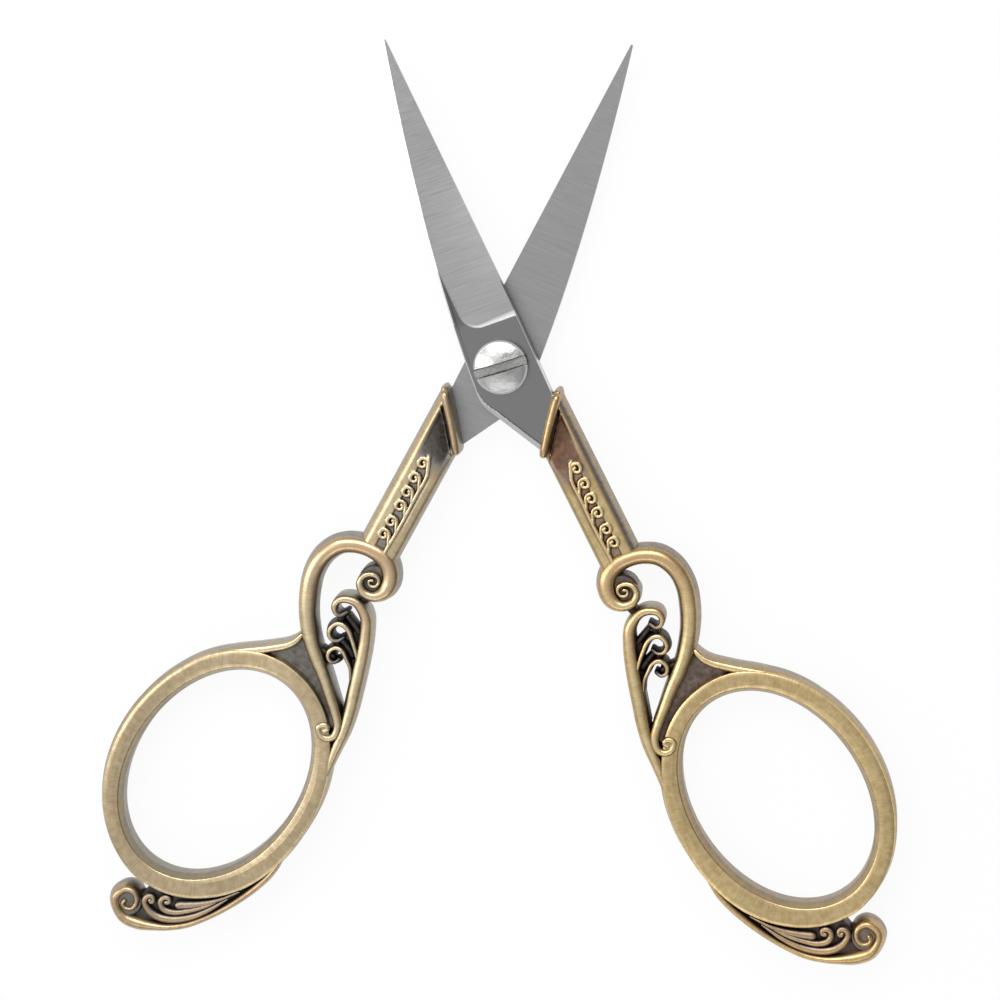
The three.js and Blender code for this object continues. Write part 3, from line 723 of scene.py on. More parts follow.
# Bands and runs are (start, rise, end, fall) across or down the shank, in millimetres. SCOOP_FOOT is
# (end, fall), SCOOP_RIM and GROOVE are (centre, reach), and SCOOP_DARK gives losses of rub at two gaps,
# which are patina and painted shade in the scoop under the collar.
BEVEL_BAND = (1.5, 0.25, 2.3, 0.4)
SCOOP_BAND = (-2.4, 0.9, 1.55, 0.6)
SCOOP_REACH = 4.4
SCOOP_FOOT = (6.2, 4.5)
SCOOP_DEPTH = 0.55
SCOOP_DARK = ((0.0, 2.5), (1.6, 1.15))
SCOOP_RIM = (0.26, 0.14)
RIM_RISE = 0.12
RIM_CLEAN = 0.4
GROOVE = (-1.2, 0.2)
GROOVE_RUN = (5.5, 2.0, 14.5, 2.0)
GROOVE_DEPTH = 0.05
GROOVE_DARK = 0.5
PANEL_DEPTH = 0.28
PANEL_RUB = 0.05
GRIME_DARK = 0.35
GRIME_ABOVE = -0.3
VINE_RISE = 0.13
VINE_RUB = 0.95
FADE_BROWN = 2.0
# the first value of each half paints light on the outer bevel: shade on the front, a highlight on the rear
SHANK_FINISH = {"front": (-0.25, 0.3, (9.0, 5.0)), "rear": (0.4, 0.05, (7.1, 3.6))}


def scoop(plan, side, down, fade):
    """The hollow under the collar: how deep it is, less its raised rim, how much rub it loses to patina and
    painted shade, and where it is darkened. All fall with the distance from the collar."""
    gap = -((plan - collar_middle) @ collar_across) - COLLAR_WIDTH / 2
    within = band(side, *SCOOP_BAND)
    bowl = (1 - np.clip(gap / SCOOP_REACH, 0, 1)) * within * before(down, *SCOOP_FOOT)
    rim = tent(gap, *SCOOP_RIM) * (side < SCOOP_BAND[2])
    shade = within * before(down, *fade)
    # patina and painted shade in the scoop under the collar
    loss = np.interp(gap, *SCOOP_DARK) * shade * (1 - RIM_CLEAN * rim)
    return SCOOP_DEPTH * bowl - RIM_RISE * rim, loss, shade


def shank(bevel_light, tint, fade):
    """A bar with a fine face: the profile across it, less the scoop, the panel and a side groove, plus the
    vine's ridges. Its head follows the collar's line, so each column starts where that line crosses it. The
    first argument paints light on its outer bevel: painted shade below 0, a painted highlight above 0. tint
    is how brown the hollows are. fade is where the scoop's dark ends and over what length."""
    across, profile_level, profile_rub = np.array(SHANK_PROFILE).T
    side = np.linspace(*SHANK_SIDES, SHANK_COLUMNS)
    head = (side + SHANK_SHIFT) * (shank_side @ collar_across) / (shank_up @ collar_across)
    head = head + CORNER_FALL * np.clip(side - CORNER_START, 0, None) ** 2
    down = head + np.linspace(0, 1, SHANK_ROWS)[:, None] * (SHANK_LENGTH - head)
    plan = shank_top - down[..., None] * shank_up + side[:, None] * shank_side
    hollow, loss, shade = scoop(plan, side, down, fade)
    sunk = panel(plan, side)
    groove = tent(side, *GROOVE) * band(down, *GROOVE_RUN)
    ridge, grime = vine(plan)
    level = np.interp(side, across, profile_level) - hollow - PANEL_DEPTH * sunk - GROOVE_DEPTH * groove
    level = level + (FACE_LEVEL + VINE_RISE - level) * ridge
    # painted light on the outer bevel: shade on the front half, a highlight on the rear
    rub = np.interp(side, across, profile_rub) + bevel_light * band(side, *BEVEL_BAND) - loss
    rub = rub * (1 - sunk) + PANEL_RUB * sunk - GROOVE_DARK * groove
    rub = rub - GRIME_DARK * grime * (rub > GRIME_ABOVE)
    rub = rub + (VINE_RUB - rub) * ridge
    brown = tint * (np.maximum(shade, sunk) + FADE_BROWN * shade * (1 - shade)) * (1 - ridge)
    rub, brown = (np.concatenate([values, values[:, ::-1]], axis=1) for values in (rub, brown))
    return surface(both_faces(raised(plan, level)), rub, brown, cap=0.0)


shanks = {half: tell(f"{half} shank", [shank(*finish)]) for half, finish in SHANK_FINISH.items()}

# %% [markdown]
# ## Finger ring
# The ring is an oval bar with a flat, brushed face, a bevel to the hole and a wider one outside. A torus has
# a round section and a circle's path. The section here is a short list of corners, each rounded a little so
# that its edge catches the light, carried round two half axes that grow by the corner's own offset. The
# outside isn't quite even, so its crest and wall follow a table of angles.

# %% Ring places
HOLE_LONG = 26.1
HOLE_SHORT = 19.8
RIM_WIDTH = 2.3
RING_LEAN = 13.8
RING_JOIN_ANGLE = 38.0
RING_JOIN = (-1.73, -21.98)

ring_side, ring_up = leaning(RING_LEAN)


def spokes(angle, offset):
    """From the ring's centre to an ellipse an offset beyond the rim: half axes times cosine and sine."""
    angle = np.radians(angle)[..., None]
    grow = np.asarray(offset)[..., None] + RIM_WIDTH
    up = (HOLE_LONG / 2 + grow) * np.cos(angle) * ring_up
    return up - (HOLE_SHORT / 2 + grow) * np.sin(angle) * ring_side


ring_centre = foot + RING_JOIN - spokes(np.array(RING_JOIN_ANGLE), -RIM_WIDTH / 2)


def from_foot(rows):
    """Rows of (u, v, ...) counted from the foot of the shank, moved into the half plane."""
    rows = np.array(rows, float)
    rows[:, :2] += foot
    return rows


def on_ring(rows):
    """Rows of (ring angle, offset beyond the rim, ...) as places in the half plane, other columns kept."""
    rows = np.array(rows, float)
    rows[:, :2] = ring_centre + spokes(rows[:, 0], rows[:, 1])
    return rows


print("ring's centre", np.round(ring_centre, 2))

# %% Finger ring
RING_ROWS = 240
FACE_SPAN = (-1.46, -0.36)
INNER_SWELL = 0.42
SWELL_WITHIN = -1.6
RING_SECTION = [
    (-2.3, 0.0, 0.1, 0.0), (-2.3, 0.95, 0.1, 0.12), (-1.82, 1.8, 0.4, 0.05), (-1.72, 1.9, 0.74, 0.06),
    (-1.46, 1.98, 0.66, 0.1), (-0.36, 1.98, 0.66, 0.12), (0.0, 1.88, 0.72, 0.14), (1.0, 1.15, 0.25, 0.1),
    (1.0, 0.0, 0.0, 0.0),
]
RING_EDGE = [
    (-180, 0.27, 0.4), (-160, -0.06, 0.12), (-130, -0.3, 0.0), (-100, -0.42, 0.0), (-72, -0.36, 0.0),
    (-61, -0.28, 0.03), (-51, -0.12, 0.12), (-36, -0.05, 0.25), (-27, 0.02, 0.32), (-17, 0.08, 0.25),
    (-8, 0.0, 0.15), (4, -0.1, 0.05), (30, -0.12, 0.02), (60, -0.35, 0.0), (90, -0.25, 0.0),
    (115, 0.25, 0.38), (125, 0.38, 0.5), (136, 0.4, 0.52), (145, 0.36, 0.48), (154, 0.35, 0.46),
    (163, 0.32, 0.44), (174, 0.22, 0.36), (180, 0.27, 0.4),
]


def parabola(start, control, end, steps):
    """Quadratic curve that leaves start towards control and reaches end from it."""
    t = np.linspace(0, 1, steps)[:, None]
    return (1 - t) ** 2 * np.array(start) + 2 * t * (1 - t) * np.array(control) + t**2 * np.array(end)


def rounded(corners, steps=5):
    """A closed outline of (offset, level, rub, radius) corners, each replaced by a short parabola that
    starts and ends one radius away along its two sides."""
    place, radius = corners[:, :2], corners[:, 3:]
    start, end = (place + unit(np.roll(place, step, axis=0) - place) * radius for step in (1, -1))
    curve = parabola(start[:, None], place[:, None], end[:, None], steps)
    keep = np.repeat(radius[:, 0] > 0, steps) | (np.arange(len(corners) * steps) % steps == 0)
    return curve.reshape(-1, 2)[keep], np.repeat(corners[:, 2], steps)[keep]


def finger_ring():
    """The rounded section carried round the ellipse, mirrored below the parting line. Its outer crest and
    outer wall wander with the angle: offsets up to 0 are counted from the crest, those up to 1 lie between
    both. The hole's wall swells inwards by the sine squared of the angle."""
    upper = np.array(RING_SECTION)
    section, rub = rounded(np.vstack([upper, upper[-2:0:-1] * (1, -1, 1, 1)]))
    out, level = section.T
    angle = np.linspace(-180, 180, RING_ROWS, endpoint=False)[:, None]
    table = np.array(RING_EDGE).T
    crest, wall = (np.interp(angle, table[0], column) for column in table[1:])
    offset = np.minimum(out, 0) + np.interp(out, FACE_SPAN, (0, 1)) * crest
    offset = offset + np.maximum(out, 0) * (wall - crest)
    offset = offset - INNER_SWELL * np.sin(np.radians(angle)) ** 2 * (out < SWELL_WITHIN)
    plan = ring_centre + spokes(*np.broadcast_arrays(angle, offset))
    return surface(raised(plan, level), rub, ring=True)


handle_parts["finger_ring"] = tell("finger ring", [finger_ring()])

# %% [markdown]
# ## Scrolled neck
# The neck rises from a small curl on the ring, arches over the foot of the shank and winds into a volute. A
# tube with an even bevel would look like bent wire. A cast scroll tapers and has a round crown on straight
# walls, so the rows carry their own half widths and, where a curl dives into the work, their share of the
# height. The plating is worn to copper on the arch, by shares that a short table gives along the neck.

# %% Neck
NECK_LEVEL = 2.25
CURL_ON_RING = [
    (-2.05, -21.55, 0.3, 0.96), (-2.32, -21.2, 0.32, 0.98), (-1.85, -20.9, 0.34, 0.99),
    (-1.3, -21.4, 0.37), (-1.75, -22.15, 0.4), (-2.6, -22.3, 0.42), (-3.26, -21.69, 0.44),
]
NECK_RUN = [
    (-3.24, -20.49, 0.5), (-2.29, -18.99, 0.56), (-0.99, -17.39, 0.62), (0.41, -15.69, 0.7),
    (1.71, -14.29, 0.78), (3.11, -12.59, 0.87), (4.31, -10.59, 0.94), (5.29, -8.09, 1),
    (5.8, -5.25, 1.02), (5.42, -2.95, 1.02), (4.22, -1.2, 1), (2.58, -0.38, 0.97), (0.81, -0.2, 0.95),
    (-0.8, -0.5, 1.01), (-2.05, -1.45, 1),
]
NECK_VOLUTE = [
    (-2.62, -2.85, 0.99), (-2.42, -4.2, 0.85), (-1.55, -5.02, 0.6), (-0.3, -5, 0.48),
    (0.47, -4.2, 0.4, 0.99), (0.36, -3.26, 0.33, 0.97), (-0.38, -2.72, 0.27, 0.94),
    (-1.16, -2.8, 0.23, 0.9), (-1.48, -3.36, 0.2, 0.87), (-1.2, -3.93, 0.18, 0.86),
    (-0.62, -3.98, 0.17, 0.86), (-0.4, -3.52, 0.16, 0.87), (-0.74, -3.34, 0.18, 0.9),
]
NECK_WARMTH = (0, 0, 0, 0, 0, 0.1, 0.45, 0.75, 0.55, 0.18, 0, 0)
VOLUTE_EYE = (-0.95, -3.35)
VOLUTE_DISH = {"radius": 1.8, "level": 1.5, "rub": -0.25}
RING_CURL_EYE = (-1.88, -21.55)
RING_CURL_DISH = {"radius": 0.55, "level": 0.93 * NECK_LEVEL, "rub": 0.45}


def neck():
    """The rod of the neck with its curl and volute, and the dishes that both of them lie in."""
    rows = from_foot(filled(CURL_ON_RING + NECK_RUN + NECK_VOLUTE))
    dishes = [disc(foot + VOLUTE_EYE, **VOLUTE_DISH), disc(foot + RING_CURL_EYE, **RING_CURL_DISH)]
    return [rod(rows, NECK_LEVEL, warm=NECK_WARMTH), *dishes]


handle_parts["neck_scroll"] = tell("neck", neck())

# %% [markdown]
# ## Stem, curls and ties
# A slimmer stem climbs from the ring to a volute of its own and lets go two open curls, so that daylight
# shows through the middle of each. Short dark bars tie them together. Bevelled curves could draw them, but
# have no place for a finish that changes along the way. So they are rods like the neck. The ends of the
# curls dive down, which the rows say as a falling share of the height, and darken as they do, which is each
# row's change of rub.

# %% Stem and curls
STEM_LEVEL = 2.1
CURL_LEVEL = 1.95
TIE_LEVEL = 1.3
TIE_RUB = -0.7
FILL_LEVEL = 1.2
FILL_RUB = -0.8
STEM_START = (66, -0.75, 0.25, 0.85)
STEM_RUN = [
    (-4.01, -23.39, 0.58, 0.95), (-4.09, -20.89, 0.7), (-3.91, -18.39, 0.75), (-3.57, -16.3, 0.8),
    (-3.19, -13.89, 0.82), (-2.8, -11.6, 0.78), (-2.34, -9.6, 0.72), (-1.68, -7.8, 0.66),
    (-0.69, -6.82, 0.58), (0.23, -6.42, 0.5), (1.23, -6.52, 0.45), (1.99, -7.02, 0.4, 0.98),
    (2.15, -7.83, 0.33, 0.95), (1.71, -8.48, 0.27, 0.9, -0.2), (1.13, -8.55, 0.25, 0.8, -0.9),
    (0.63, -8, 0.25, 0.7, -1.2),
]
STEM_WARMTH = (0, 0, 0, 0, 0.1, 0.48, 0.36, 0)
UPPER_CURL = [
    (-2.5, -12.5, 0.18, 0.95, -0.1), (-1.88, -11.6, 0.21), (-1.05, -10.57, 0.24), (-0.29, -9.76, 0.26),
    (0.54, -9.42, 0.28), (1.2, -9.58, 0.28), (1.62, -10.3, 0.27, 0.98), (1.53, -11.06, 0.26, 0.95),
    (0.99, -11.5, 0.24, 0.9, -0.2), (0.3, -11.38, 0.22, 0.8, -0.8), (-0.09, -10.89, 0.22, 0.7, -1.2),
]
LOWER_CURL = [
    (-2.56, -14.9, 0.14, 0.85, -0.7), (-2.1, -13.8, 0.17, 0.94, -0.2), (-1.33, -12.95, 0.2),
    (-0.61, -12.28, 0.23), (0.14, -12.15, 0.26), (0.7, -12.62, 0.26, 0.98), (0.8, -13.31, 0.25, 0.95),
    (0.44, -13.84, 0.24, 0.9, -0.2), (-0.18, -13.9, 0.22, 0.8, -0.8), (-0.54, -13.41, 0.22, 0.7, -1.2),
]
TIES = [
    [(-1.2, -4.9, 0.5), (-0.5, -6.3, 0.5)], [(0.3, -8.5, 0.28), (-1.4, -9.6, 0.35)],
    [(0.9, -8.7, 0.35), (1.0, -9.5, 0.35)], [(-0.1, -11.3, 0.3), (-1.7, -12.3, 0.5)],
    [(0.4, -11.5, 0.3), (0.2, -12.2, 0.3)], [(0.3, -13.4, 0.4), (2.0, -13.3, 0.5)],
]
FILLS = [
    ([(-2.2, -9.5), (-2.4, -10.6), (-2.69, -12.9)], [(-0.9, -9.7), (-1.4, -10.7), (-2.3, -12.7)]),
    ([(-2.75, -12.6), (-3.2, -15.4), (-3.75, -19.0)], [(-1.9, -12.8), (-2.5, -15.2), (-3.05, -18.7)]),
]


def stem():
    """The stem, its two curls, the bars that tie them and the dark floors between."""
    rows = np.vstack([on_ring(filled([STEM_START])), from_foot(filled(STEM_RUN))])
    grids = [rod(rows, STEM_LEVEL, draft=0.12, wall=0.1, warm=STEM_WARMTH)]
    for curl in (UPPER_CURL, LOWER_CURL):
        grids.append(rod(from_foot(filled(curl)), CURL_LEVEL, draft=0.9, wall=-0.5))
    grids += [rod(from_foot(bar), TIE_LEVEL, crest=TIE_RUB, wall=TIE_RUB) for bar in TIES]
    grids += [plate(from_foot(first), from_foot(second), FILL_LEVEL, FILL_RUB) for first, second in FILLS]
    return grids


handle_parts["stem_curls"] = tell("stem", stem())

# %% [markdown]
# ## Web and lip
# A sunken web fills the corner between neck and ring, and a thin lip runs along its outer edge from the neck
# to the top of the ring. Filling an outline would give one flat face with no points inside it to bend. So
# the web is a patch with three curved sides: its rows fan out from the corner where neck and lip meet, and
# the last row lies along the ring.

# %% Web and lip
WEB_LEVEL = 1.15
WEB_TURN_UP = 0.5
WEB_TURN_POWER = 8
WEB_RUB = -0.3
WEB_WARM = 0.05
WEB_TOP = (4.5, -12.15)
WEB_NECK_SIDE = [(4.21, -11.79), (2.31, -13.89), (-0.19, -16.69), (-2.39, -19.39), (-2.8, -20.4)]
WEB_OUTER_EDGE = [(-9.0, 2.0), (-14, 1.1), (-20, 0.45), (-28, -0.1)]
WEB_RING_ANGLES = (40, -34)
PATCH_STEPS = 28
LIP_LEVEL = 1.8
LIP_ON_RING = [
    (-76, -0.52, 0.08, 0.6, -0.4), (-66, -0.46, 0.16, 0.7, -0.4), (-57, -0.38, 0.25, 0.78, -0.4),
    (-49, -0.33, 0.34, 0.85, -0.35), (-41, -0.29, 0.4, 0.92, -0.2), (-34, -0.24, 0.46, 0.97),
    (-28, -0.1, 0.5), (-22.5, 0.15, 0.5), (-18, 0.5, 0.5), (-14, 0.95, 0.5),
]
LIP_TOP = [(5.65, -14.3, 0.48), (4.85, -13.45, 0.42), (4.35, -12.4, 0.3, 0.9), (4.15, -11.9, 0.2, 0.75)]


def resampled(path, count):
    """A path resampled to a number of points at even shares of its length."""
    fine = smooth_path(path, LINE_STEP)
    share = np.linspace(0, 1, len(fine))
    return np.stack([np.interp(np.linspace(0, 1, count), share, column) for column in fine.T], axis=1)


def web():
    """Three-sided patch: neck side and outer edge blended across, plus the ring side's bow times the share
    down. Its floor lies level and turns up a little at both sides. The lip is a thin rod."""
    top = from_foot([WEB_TOP])
    angle = np.linspace(*WEB_RING_ANGLES, PATCH_STEPS)
    arc = on_ring(np.column_stack([angle, np.full(PATCH_STEPS, -RIM_WIDTH / 2)]))
    left = resampled(np.vstack([top, from_foot(WEB_NECK_SIDE), arc[:1]]), PATCH_STEPS)[:, None]
    right = resampled(np.vstack([top, on_ring(WEB_OUTER_EDGE), arc[-1:]]), PATCH_STEPS)[:, None]
    share = np.linspace(0, 1, PATCH_STEPS)
    across, down = share[None, :, None], share[:, None, None]
    bow = arc - (1 - across) * left[-1:] - across * right[-1:]
    plan = (1 - across) * left + across * right + down * bow
    points = both_faces(raised(plan, WEB_LEVEL + WEB_TURN_UP * np.abs(2 * share - 1) ** WEB_TURN_POWER))
    points = np.concatenate([points, points[-1:] * (1, 1, 0)])
    lip = rod(np.vstack([on_ring(filled(LIP_ON_RING)), from_foot(filled(LIP_TOP))]), LIP_LEVEL, wall=0.15)
    return [surface(points, WEB_RUB, WEB_WARM), lip]


handle_parts["web_lip"] = tell("web and lip", web())

# %% [markdown]
# ## Tail leaf
# Below the ring hangs a leaf of four lobes, thin where they leave the ring and swelling towards their ends.
# Three are rolled into small volutes and the innermost is blunt. They lie on a dark base plate. Drawn in u
# and v, the lobes would have to be redrawn for every change of the ring. So these rods are placed by their
# angle round the ring and their distance beyond its rim, and follow its curve.

# %% Tail leaf
LEAF_LEVEL = 1.3
LEAF_RUB = -0.5
LEAF_STEPS = 60
LOBE_LEVEL = 2.05
LEAF_OUTER = [
    (100, -0.5), (109.9, 0.3), (117.9, 0.7), (127.2, 1.2), (137.4, 1.85), (146.4, 2.6), (154.8, 3.6),
    (162.3, 4.4), (168.9, 5.0), (174, 5.1),
]
LEAF_ROOT = [
    (100, -0.9), (115, -0.6), (130, -0.6), (145, -0.6), (160, -0.6), (170, -0.4), (173, 0.4), (175, 2.0),
]
RIM_LOBE = [
    (104, -0.07, 0.2, 0.9), (112, 0.44, 0.42, 0.97), (119.4, 0.82, 0.48), (128.5, 1.36, 0.5),
    (137.3, 2.06, 0.46), (145.2, 2.84, 0.46), (152.5, 3.64, 0.54), (159.4, 4.24, 0.6),
    (165.4, 4.64, 0.85), (170.9, 5.02, 1.04), (176.2, 5.17, 0.98), (180.8, 4.63, 0.8), (183.4, 3.88, 0.8),
    (183.7, 2.98, 0.74), (181.8, 2.1, 0.68), (178, 1.96, 0.6), (175.4, 2.5, 0.5), (174.8, 3.19, 0.43),
    (175.75, 3.8, 0.36), (178, 4.02, 0.33), (179.6, 3.82, 0.33), (179.7, 3.4, 0.38),
]
MID_LOBE = [
    (134, 0.95, 0.11, 0.9), (142.5, 1.78, 0.3), (150.4, 2.62, 0.42), (157.8, 3.18, 0.48),
    (163.9, 3.3, 0.49), (168.9, 2.9, 0.44), (172, 2.22, 0.39), (172, 1.5, 0.35), (169.9, 1.25, 0.32),
    (168.5, 1.62, 0.29), (169, 1.95, 0.28), (169.9, 1.8, 0.28),
]
INNER_LOBE = [
    (134, 0.7, 0.09, 0.9), (145.2, 1.44, 0.25), (153.2, 2, 0.33), (158.4, 2.32, 0.39), (162.9, 2.2, 0.42),
    (165.2, 1.52, 0.39), (164.3, 0.88, 0.35), (161.8, 0.84, 0.32), (161.2, 1.24, 0.3), (162.4, 1.36, 0.3),
]
BLUNT_LOBE = [
    (128, 0.57, 0.09, 0.9), (136, 0.74, 0.18), (141, 0.9, 0.28), (146, 1.05, 0.38), (151, 1.2, 0.48),
    (155, 1.34, 0.55), (156.4, 1.39, 0.53),
]
INNER_FINISH = {"wall": -0.4, "fade": 3.0}
LOBES = [
    (RIM_LOBE, {"crown": 2.0, "crest": 0.65}), (MID_LOBE, {"crest": 0.55, **INNER_FINISH}),
    (INNER_LOBE, {"crest": 0.55, **INNER_FINISH}), (BLUNT_LOBE, {"crest": 0.4, **INNER_FINISH}),
]
KNOB = (178.4, 3.3)
KNOB_DISC = {"radius": 1.75, "level": 1.65, "rub": -0.2}


def tail_leaf():
    """A dark plate ruled between the leaf's outer edge and its root on the ring, a knob and four lobes."""
    edges = [resampled(on_ring(edge), LEAF_STEPS) for edge in (LEAF_OUTER, LEAF_ROOT)]
    grids = [plate(*edges, LEAF_LEVEL, LEAF_RUB), disc(on_ring([KNOB])[0], **KNOB_DISC)]
    for lobe, finish in LOBES:
        grids.append(rod(on_ring(filled(lobe)), LOBE_LEVEL, draft=0.1, warm=0.25, **finish))
    return grids


handle_parts["tail_leaf"] = tell("tail leaf", tail_leaf())

# %% Both handles
for half in ("front", "rear"):
    for part, grids in {**handle_parts, "shank": shanks[half]}.items():
        make_piece(f"{half}_{part}", half, grids, brass, f"{half}_handle")

# %% [markdown]
# ## Blades
# Each blade is a flat bar of stainless steel, 1.6 mm thick. A belt on a wheel grinds its outer face down to
# the cutting edge and stops at a step in front of the pivot, where the wheel's round leaves a fillet with a
# painted highlight along it.
# Such a face could be cut from a block with a large cylinder, which leaves few points to carry a finish.
# Rows run along the blade from its lower end to the tip, and each row spans from the spine to the cutting
# edge, so the outline is two curves and the ground face is a height over them.

# %% Blade outline
BLADE_LENGTH = 37.8
INNER_FACE = 0.1
OUTER_FACE = 1.7
TIP_HALF_WIDTH = 0.12
HEEL = (3.5, 5.0)
EDGE_FLARE = 4.5
SPINE_WIDTH = 3.6
SPINE_STRAIGHT = 2.0
SPINE_BOW = (-3.3, 17.5)
SPINE_CORNER = 1.2
SPINE_STEPS = 40
COLLAR_OVERLAP = 0.35
SWING_CLEAR = 1.35


def crossing(first, reach, second, further):
    """Where the lines p . first = reach and p . second = further meet."""
    return np.linalg.solve([first, second], [reach, further])


def blade_edges():
    """Spine side and cutting side as points of rising v, from the point in the collar to the tip."""
    edge_side = leaning(EDGE_FLARE)[0]
    other_across = collar_across * (-1, 1)
    end_reach = COLLAR_WIDTH / 2 - COLLAR_OVERLAP - COLLAR_DISTANCE
    clear_reach = COLLAR_WIDTH / 2 + SWING_CLEAR - COLLAR_DISTANCE
    end_at_edge = crossing(edge_side, edge_side @ HEEL, collar_across, end_reach)
    bottom = crossing(other_across, clear_reach, collar_across, end_reach)
    corner = crossing([1, 0], -SPINE_WIDTH, other_across, clear_reach)
    inwards = SPINE_CORNER * unit(bottom - corner)
    turn_in = parabola(corner + inwards, corner, corner + (0, SPINE_CORNER), SPINE_STEPS)
    bow = parabola((-SPINE_WIDTH, SPINE_STRAIGHT), SPINE_BOW, (-TIP_HALF_WIDTH, BLADE_LENGTH), SPINE_STEPS)
    spine = np.vstack([bottom, turn_in, bow])
    return spine, np.array([bottom, end_at_edge, HEEL, (TIP_HALF_WIDTH, BLADE_LENGTH)])


print("lower end of the blade", np.round(blade_edges()[0][0], 2))

# %% Ground face
# GRIND_LEFT is a point (u, v) on the grind's left line and the line's slope. STEP_FILLET and FIRST_DROP give
# values at the two GRIND_SIDES.
EDGE_LAND = 0.35
LEAST_THICK = 0.12
GRIND_SPAN = 5.84
GRIND_SIDES = (-2.5, 3.5)
GRIND_RUN_OUT = 19.0
GRIND_LEFT = (-2.58, 7.0, -0.092)
GRIND_BORDER = 0.1
SIDE_STEP = 0.2
STEP_LINE = 4.72
STEP_ROUND = 2.0
STEP_FILLET = (0.28, 0.8)
FIRST_DROP = (0.045, 0.125)
FILLET_RUN = (4.0, 0.3, 6.8, 1.0)
FILLET_SIDE = (-2.3, 1.5)
# painted highlight: a stripe along the middle of the step's fillet
FILLET_BRIGHT = 0.4
FINE_CHAMFER = 0.13
FINE_SLOPE = 0.6
END_CHAMFER = 0.55
END_CHAMFER_RUN = (-1.9, 2.6)
END_SQUEEZE = 0.16
# fades the painted highlights on the chamfered edges towards the lower end
END_HIGHLIGHT_FADE = 0.15
BRIGHT_CUT = 0.02
# painted shade: dark lines beside the spine's chamfer near the lower end and along the spine
DARK_LINE = 0.09
DARK_LINE_SHARE = 0.8
SPINE_LINE = (0.42, 0.12)
SPINE_LINE_RUN = (0.0, 2.0, 13.0, 2.0)
SPINE_LINE_SHARE = 0.4
STRIP_START = (5.0, 1.5)
STRIP_SHARE = 0.35


def into_grind(u, v):
    """Distance inside the ground face: from its lower line, its left line and a round corner between."""
    short = STEP_ROUND - (v - STEP_LINE)
    aside = STEP_ROUND - (u - GRIND_LEFT[0] - GRIND_LEFT[2] * (v - GRIND_LEFT[1]))
    corner = np.hypot(np.maximum(short, 0), np.maximum(aside, 0)) + np.minimum(np.maximum(short, aside), 0)
    return STEP_ROUND - corner


def grind(u, v, spine_u, edge_u):
    """Height of the outer face: full thickness, less a fillet at the grind's border, less the rest of the
    ground drop that eases in along the blade, less chamfers. Also the finish: 1 ground, 0 tumbled, below 0
    darker, with lines of painted shade along the spine, and the painted highlights on polished edges and
    along the fillet."""
    heel, tip = np.array(HEEL), np.array([TIP_HALF_WIDTH, BLADE_LENGTH])
    run = unit(tip - heel)
    from_edge = (v - heel[1]) * run[0] - (u - heel[0]) * run[1]
    slope = (OUTER_FACE - SIDE_STEP - INNER_FACE - EDGE_LAND) / GRIND_SPAN
    plane = INNER_FACE + EDGE_LAND + slope * np.maximum(from_edge, 0)
    drop = np.maximum(OUTER_FACE - plane, 0)
    inside = into_grind(u, v)
    fillet = np.clip(inside / np.interp(u, GRIND_SIDES, STEP_FILLET), 0, 1)
    first = np.minimum(drop, np.interp(u, GRIND_SIDES, FIRST_DROP))
    rest = (drop - first) * after(v, STEP_LINE, GRIND_RUN_OUT)
    lower = np.clip((END_CHAMFER_RUN[0] - v) / END_CHAMFER_RUN[1], 0, 1)
    chamfer = FINE_CHAMFER + (END_CHAMFER - FINE_CHAMFER) * lower
    from_spine = (u - spine_u) * (1 - END_SQUEEZE * lower)
    cut = np.clip(chamfer - from_spine, 0, None)
    edge_cut = np.clip(FINE_CHAMFER - (edge_u - u), 0, None) * (v < HEEL[1])
    level = OUTER_FACE - first * (1 - (1 - fillet) ** 2) - rest - FINE_SLOPE * (cut + edge_cut)
    ground = np.clip(inside / GRIND_BORDER, 0, 1)
    # painted shade lines along the spine and its chamfer
    line = DARK_LINE_SHARE * tent(from_spine, chamfer + DARK_LINE, DARK_LINE) * lower
    line = line + SPINE_LINE_SHARE * tent(from_spine, *SPINE_LINE) * band(v, *SPINE_LINE_RUN)
    strip = STRIP_SHARE * after(v, *STRIP_START)
    finish = ground - (line + strip) * (1 - ground)
    # painted highlights along the fillet and on the chamfered edges
    bright = FILLET_BRIGHT * np.sin(np.pi * fillet) * band(v, *FILLET_RUN) * after(u, *FILLET_SIDE)
    bright = bright + (cut > BRIGHT_CUT) * (1 - END_HIGHLIGHT_FADE * lower) + (edge_cut > BRIGHT_CUT)
    return np.maximum(level, INNER_FACE + LEAST_THICK), finish, np.minimum(bright, 1)


print("1 mm above the step, the grind's border is", into_grind(0.0, STEP_LINE + 1.0).round(2), "mm away")

# %% Ground blade
BLADE_STATIONS = [(-9.9, 30), (-5.5, 50), (-1.0, 25), (4.0, 90), (9.0, 40), (15.0, 70)]
SPINE_COLUMNS = [0, 0.008, 0.016, 0.024, 0.032, 0.045, 0.06]
EDGE_COLUMNS = [0.94, 0.955, 0.968, 0.976, 0.984, 0.992, 1]
ACROSS = np.concatenate([SPINE_COLUMNS, np.linspace(0.075, 0.925, 70), EDGE_COLUMNS])
INNER_GROUND = 0.7
END_CAP = 0.1


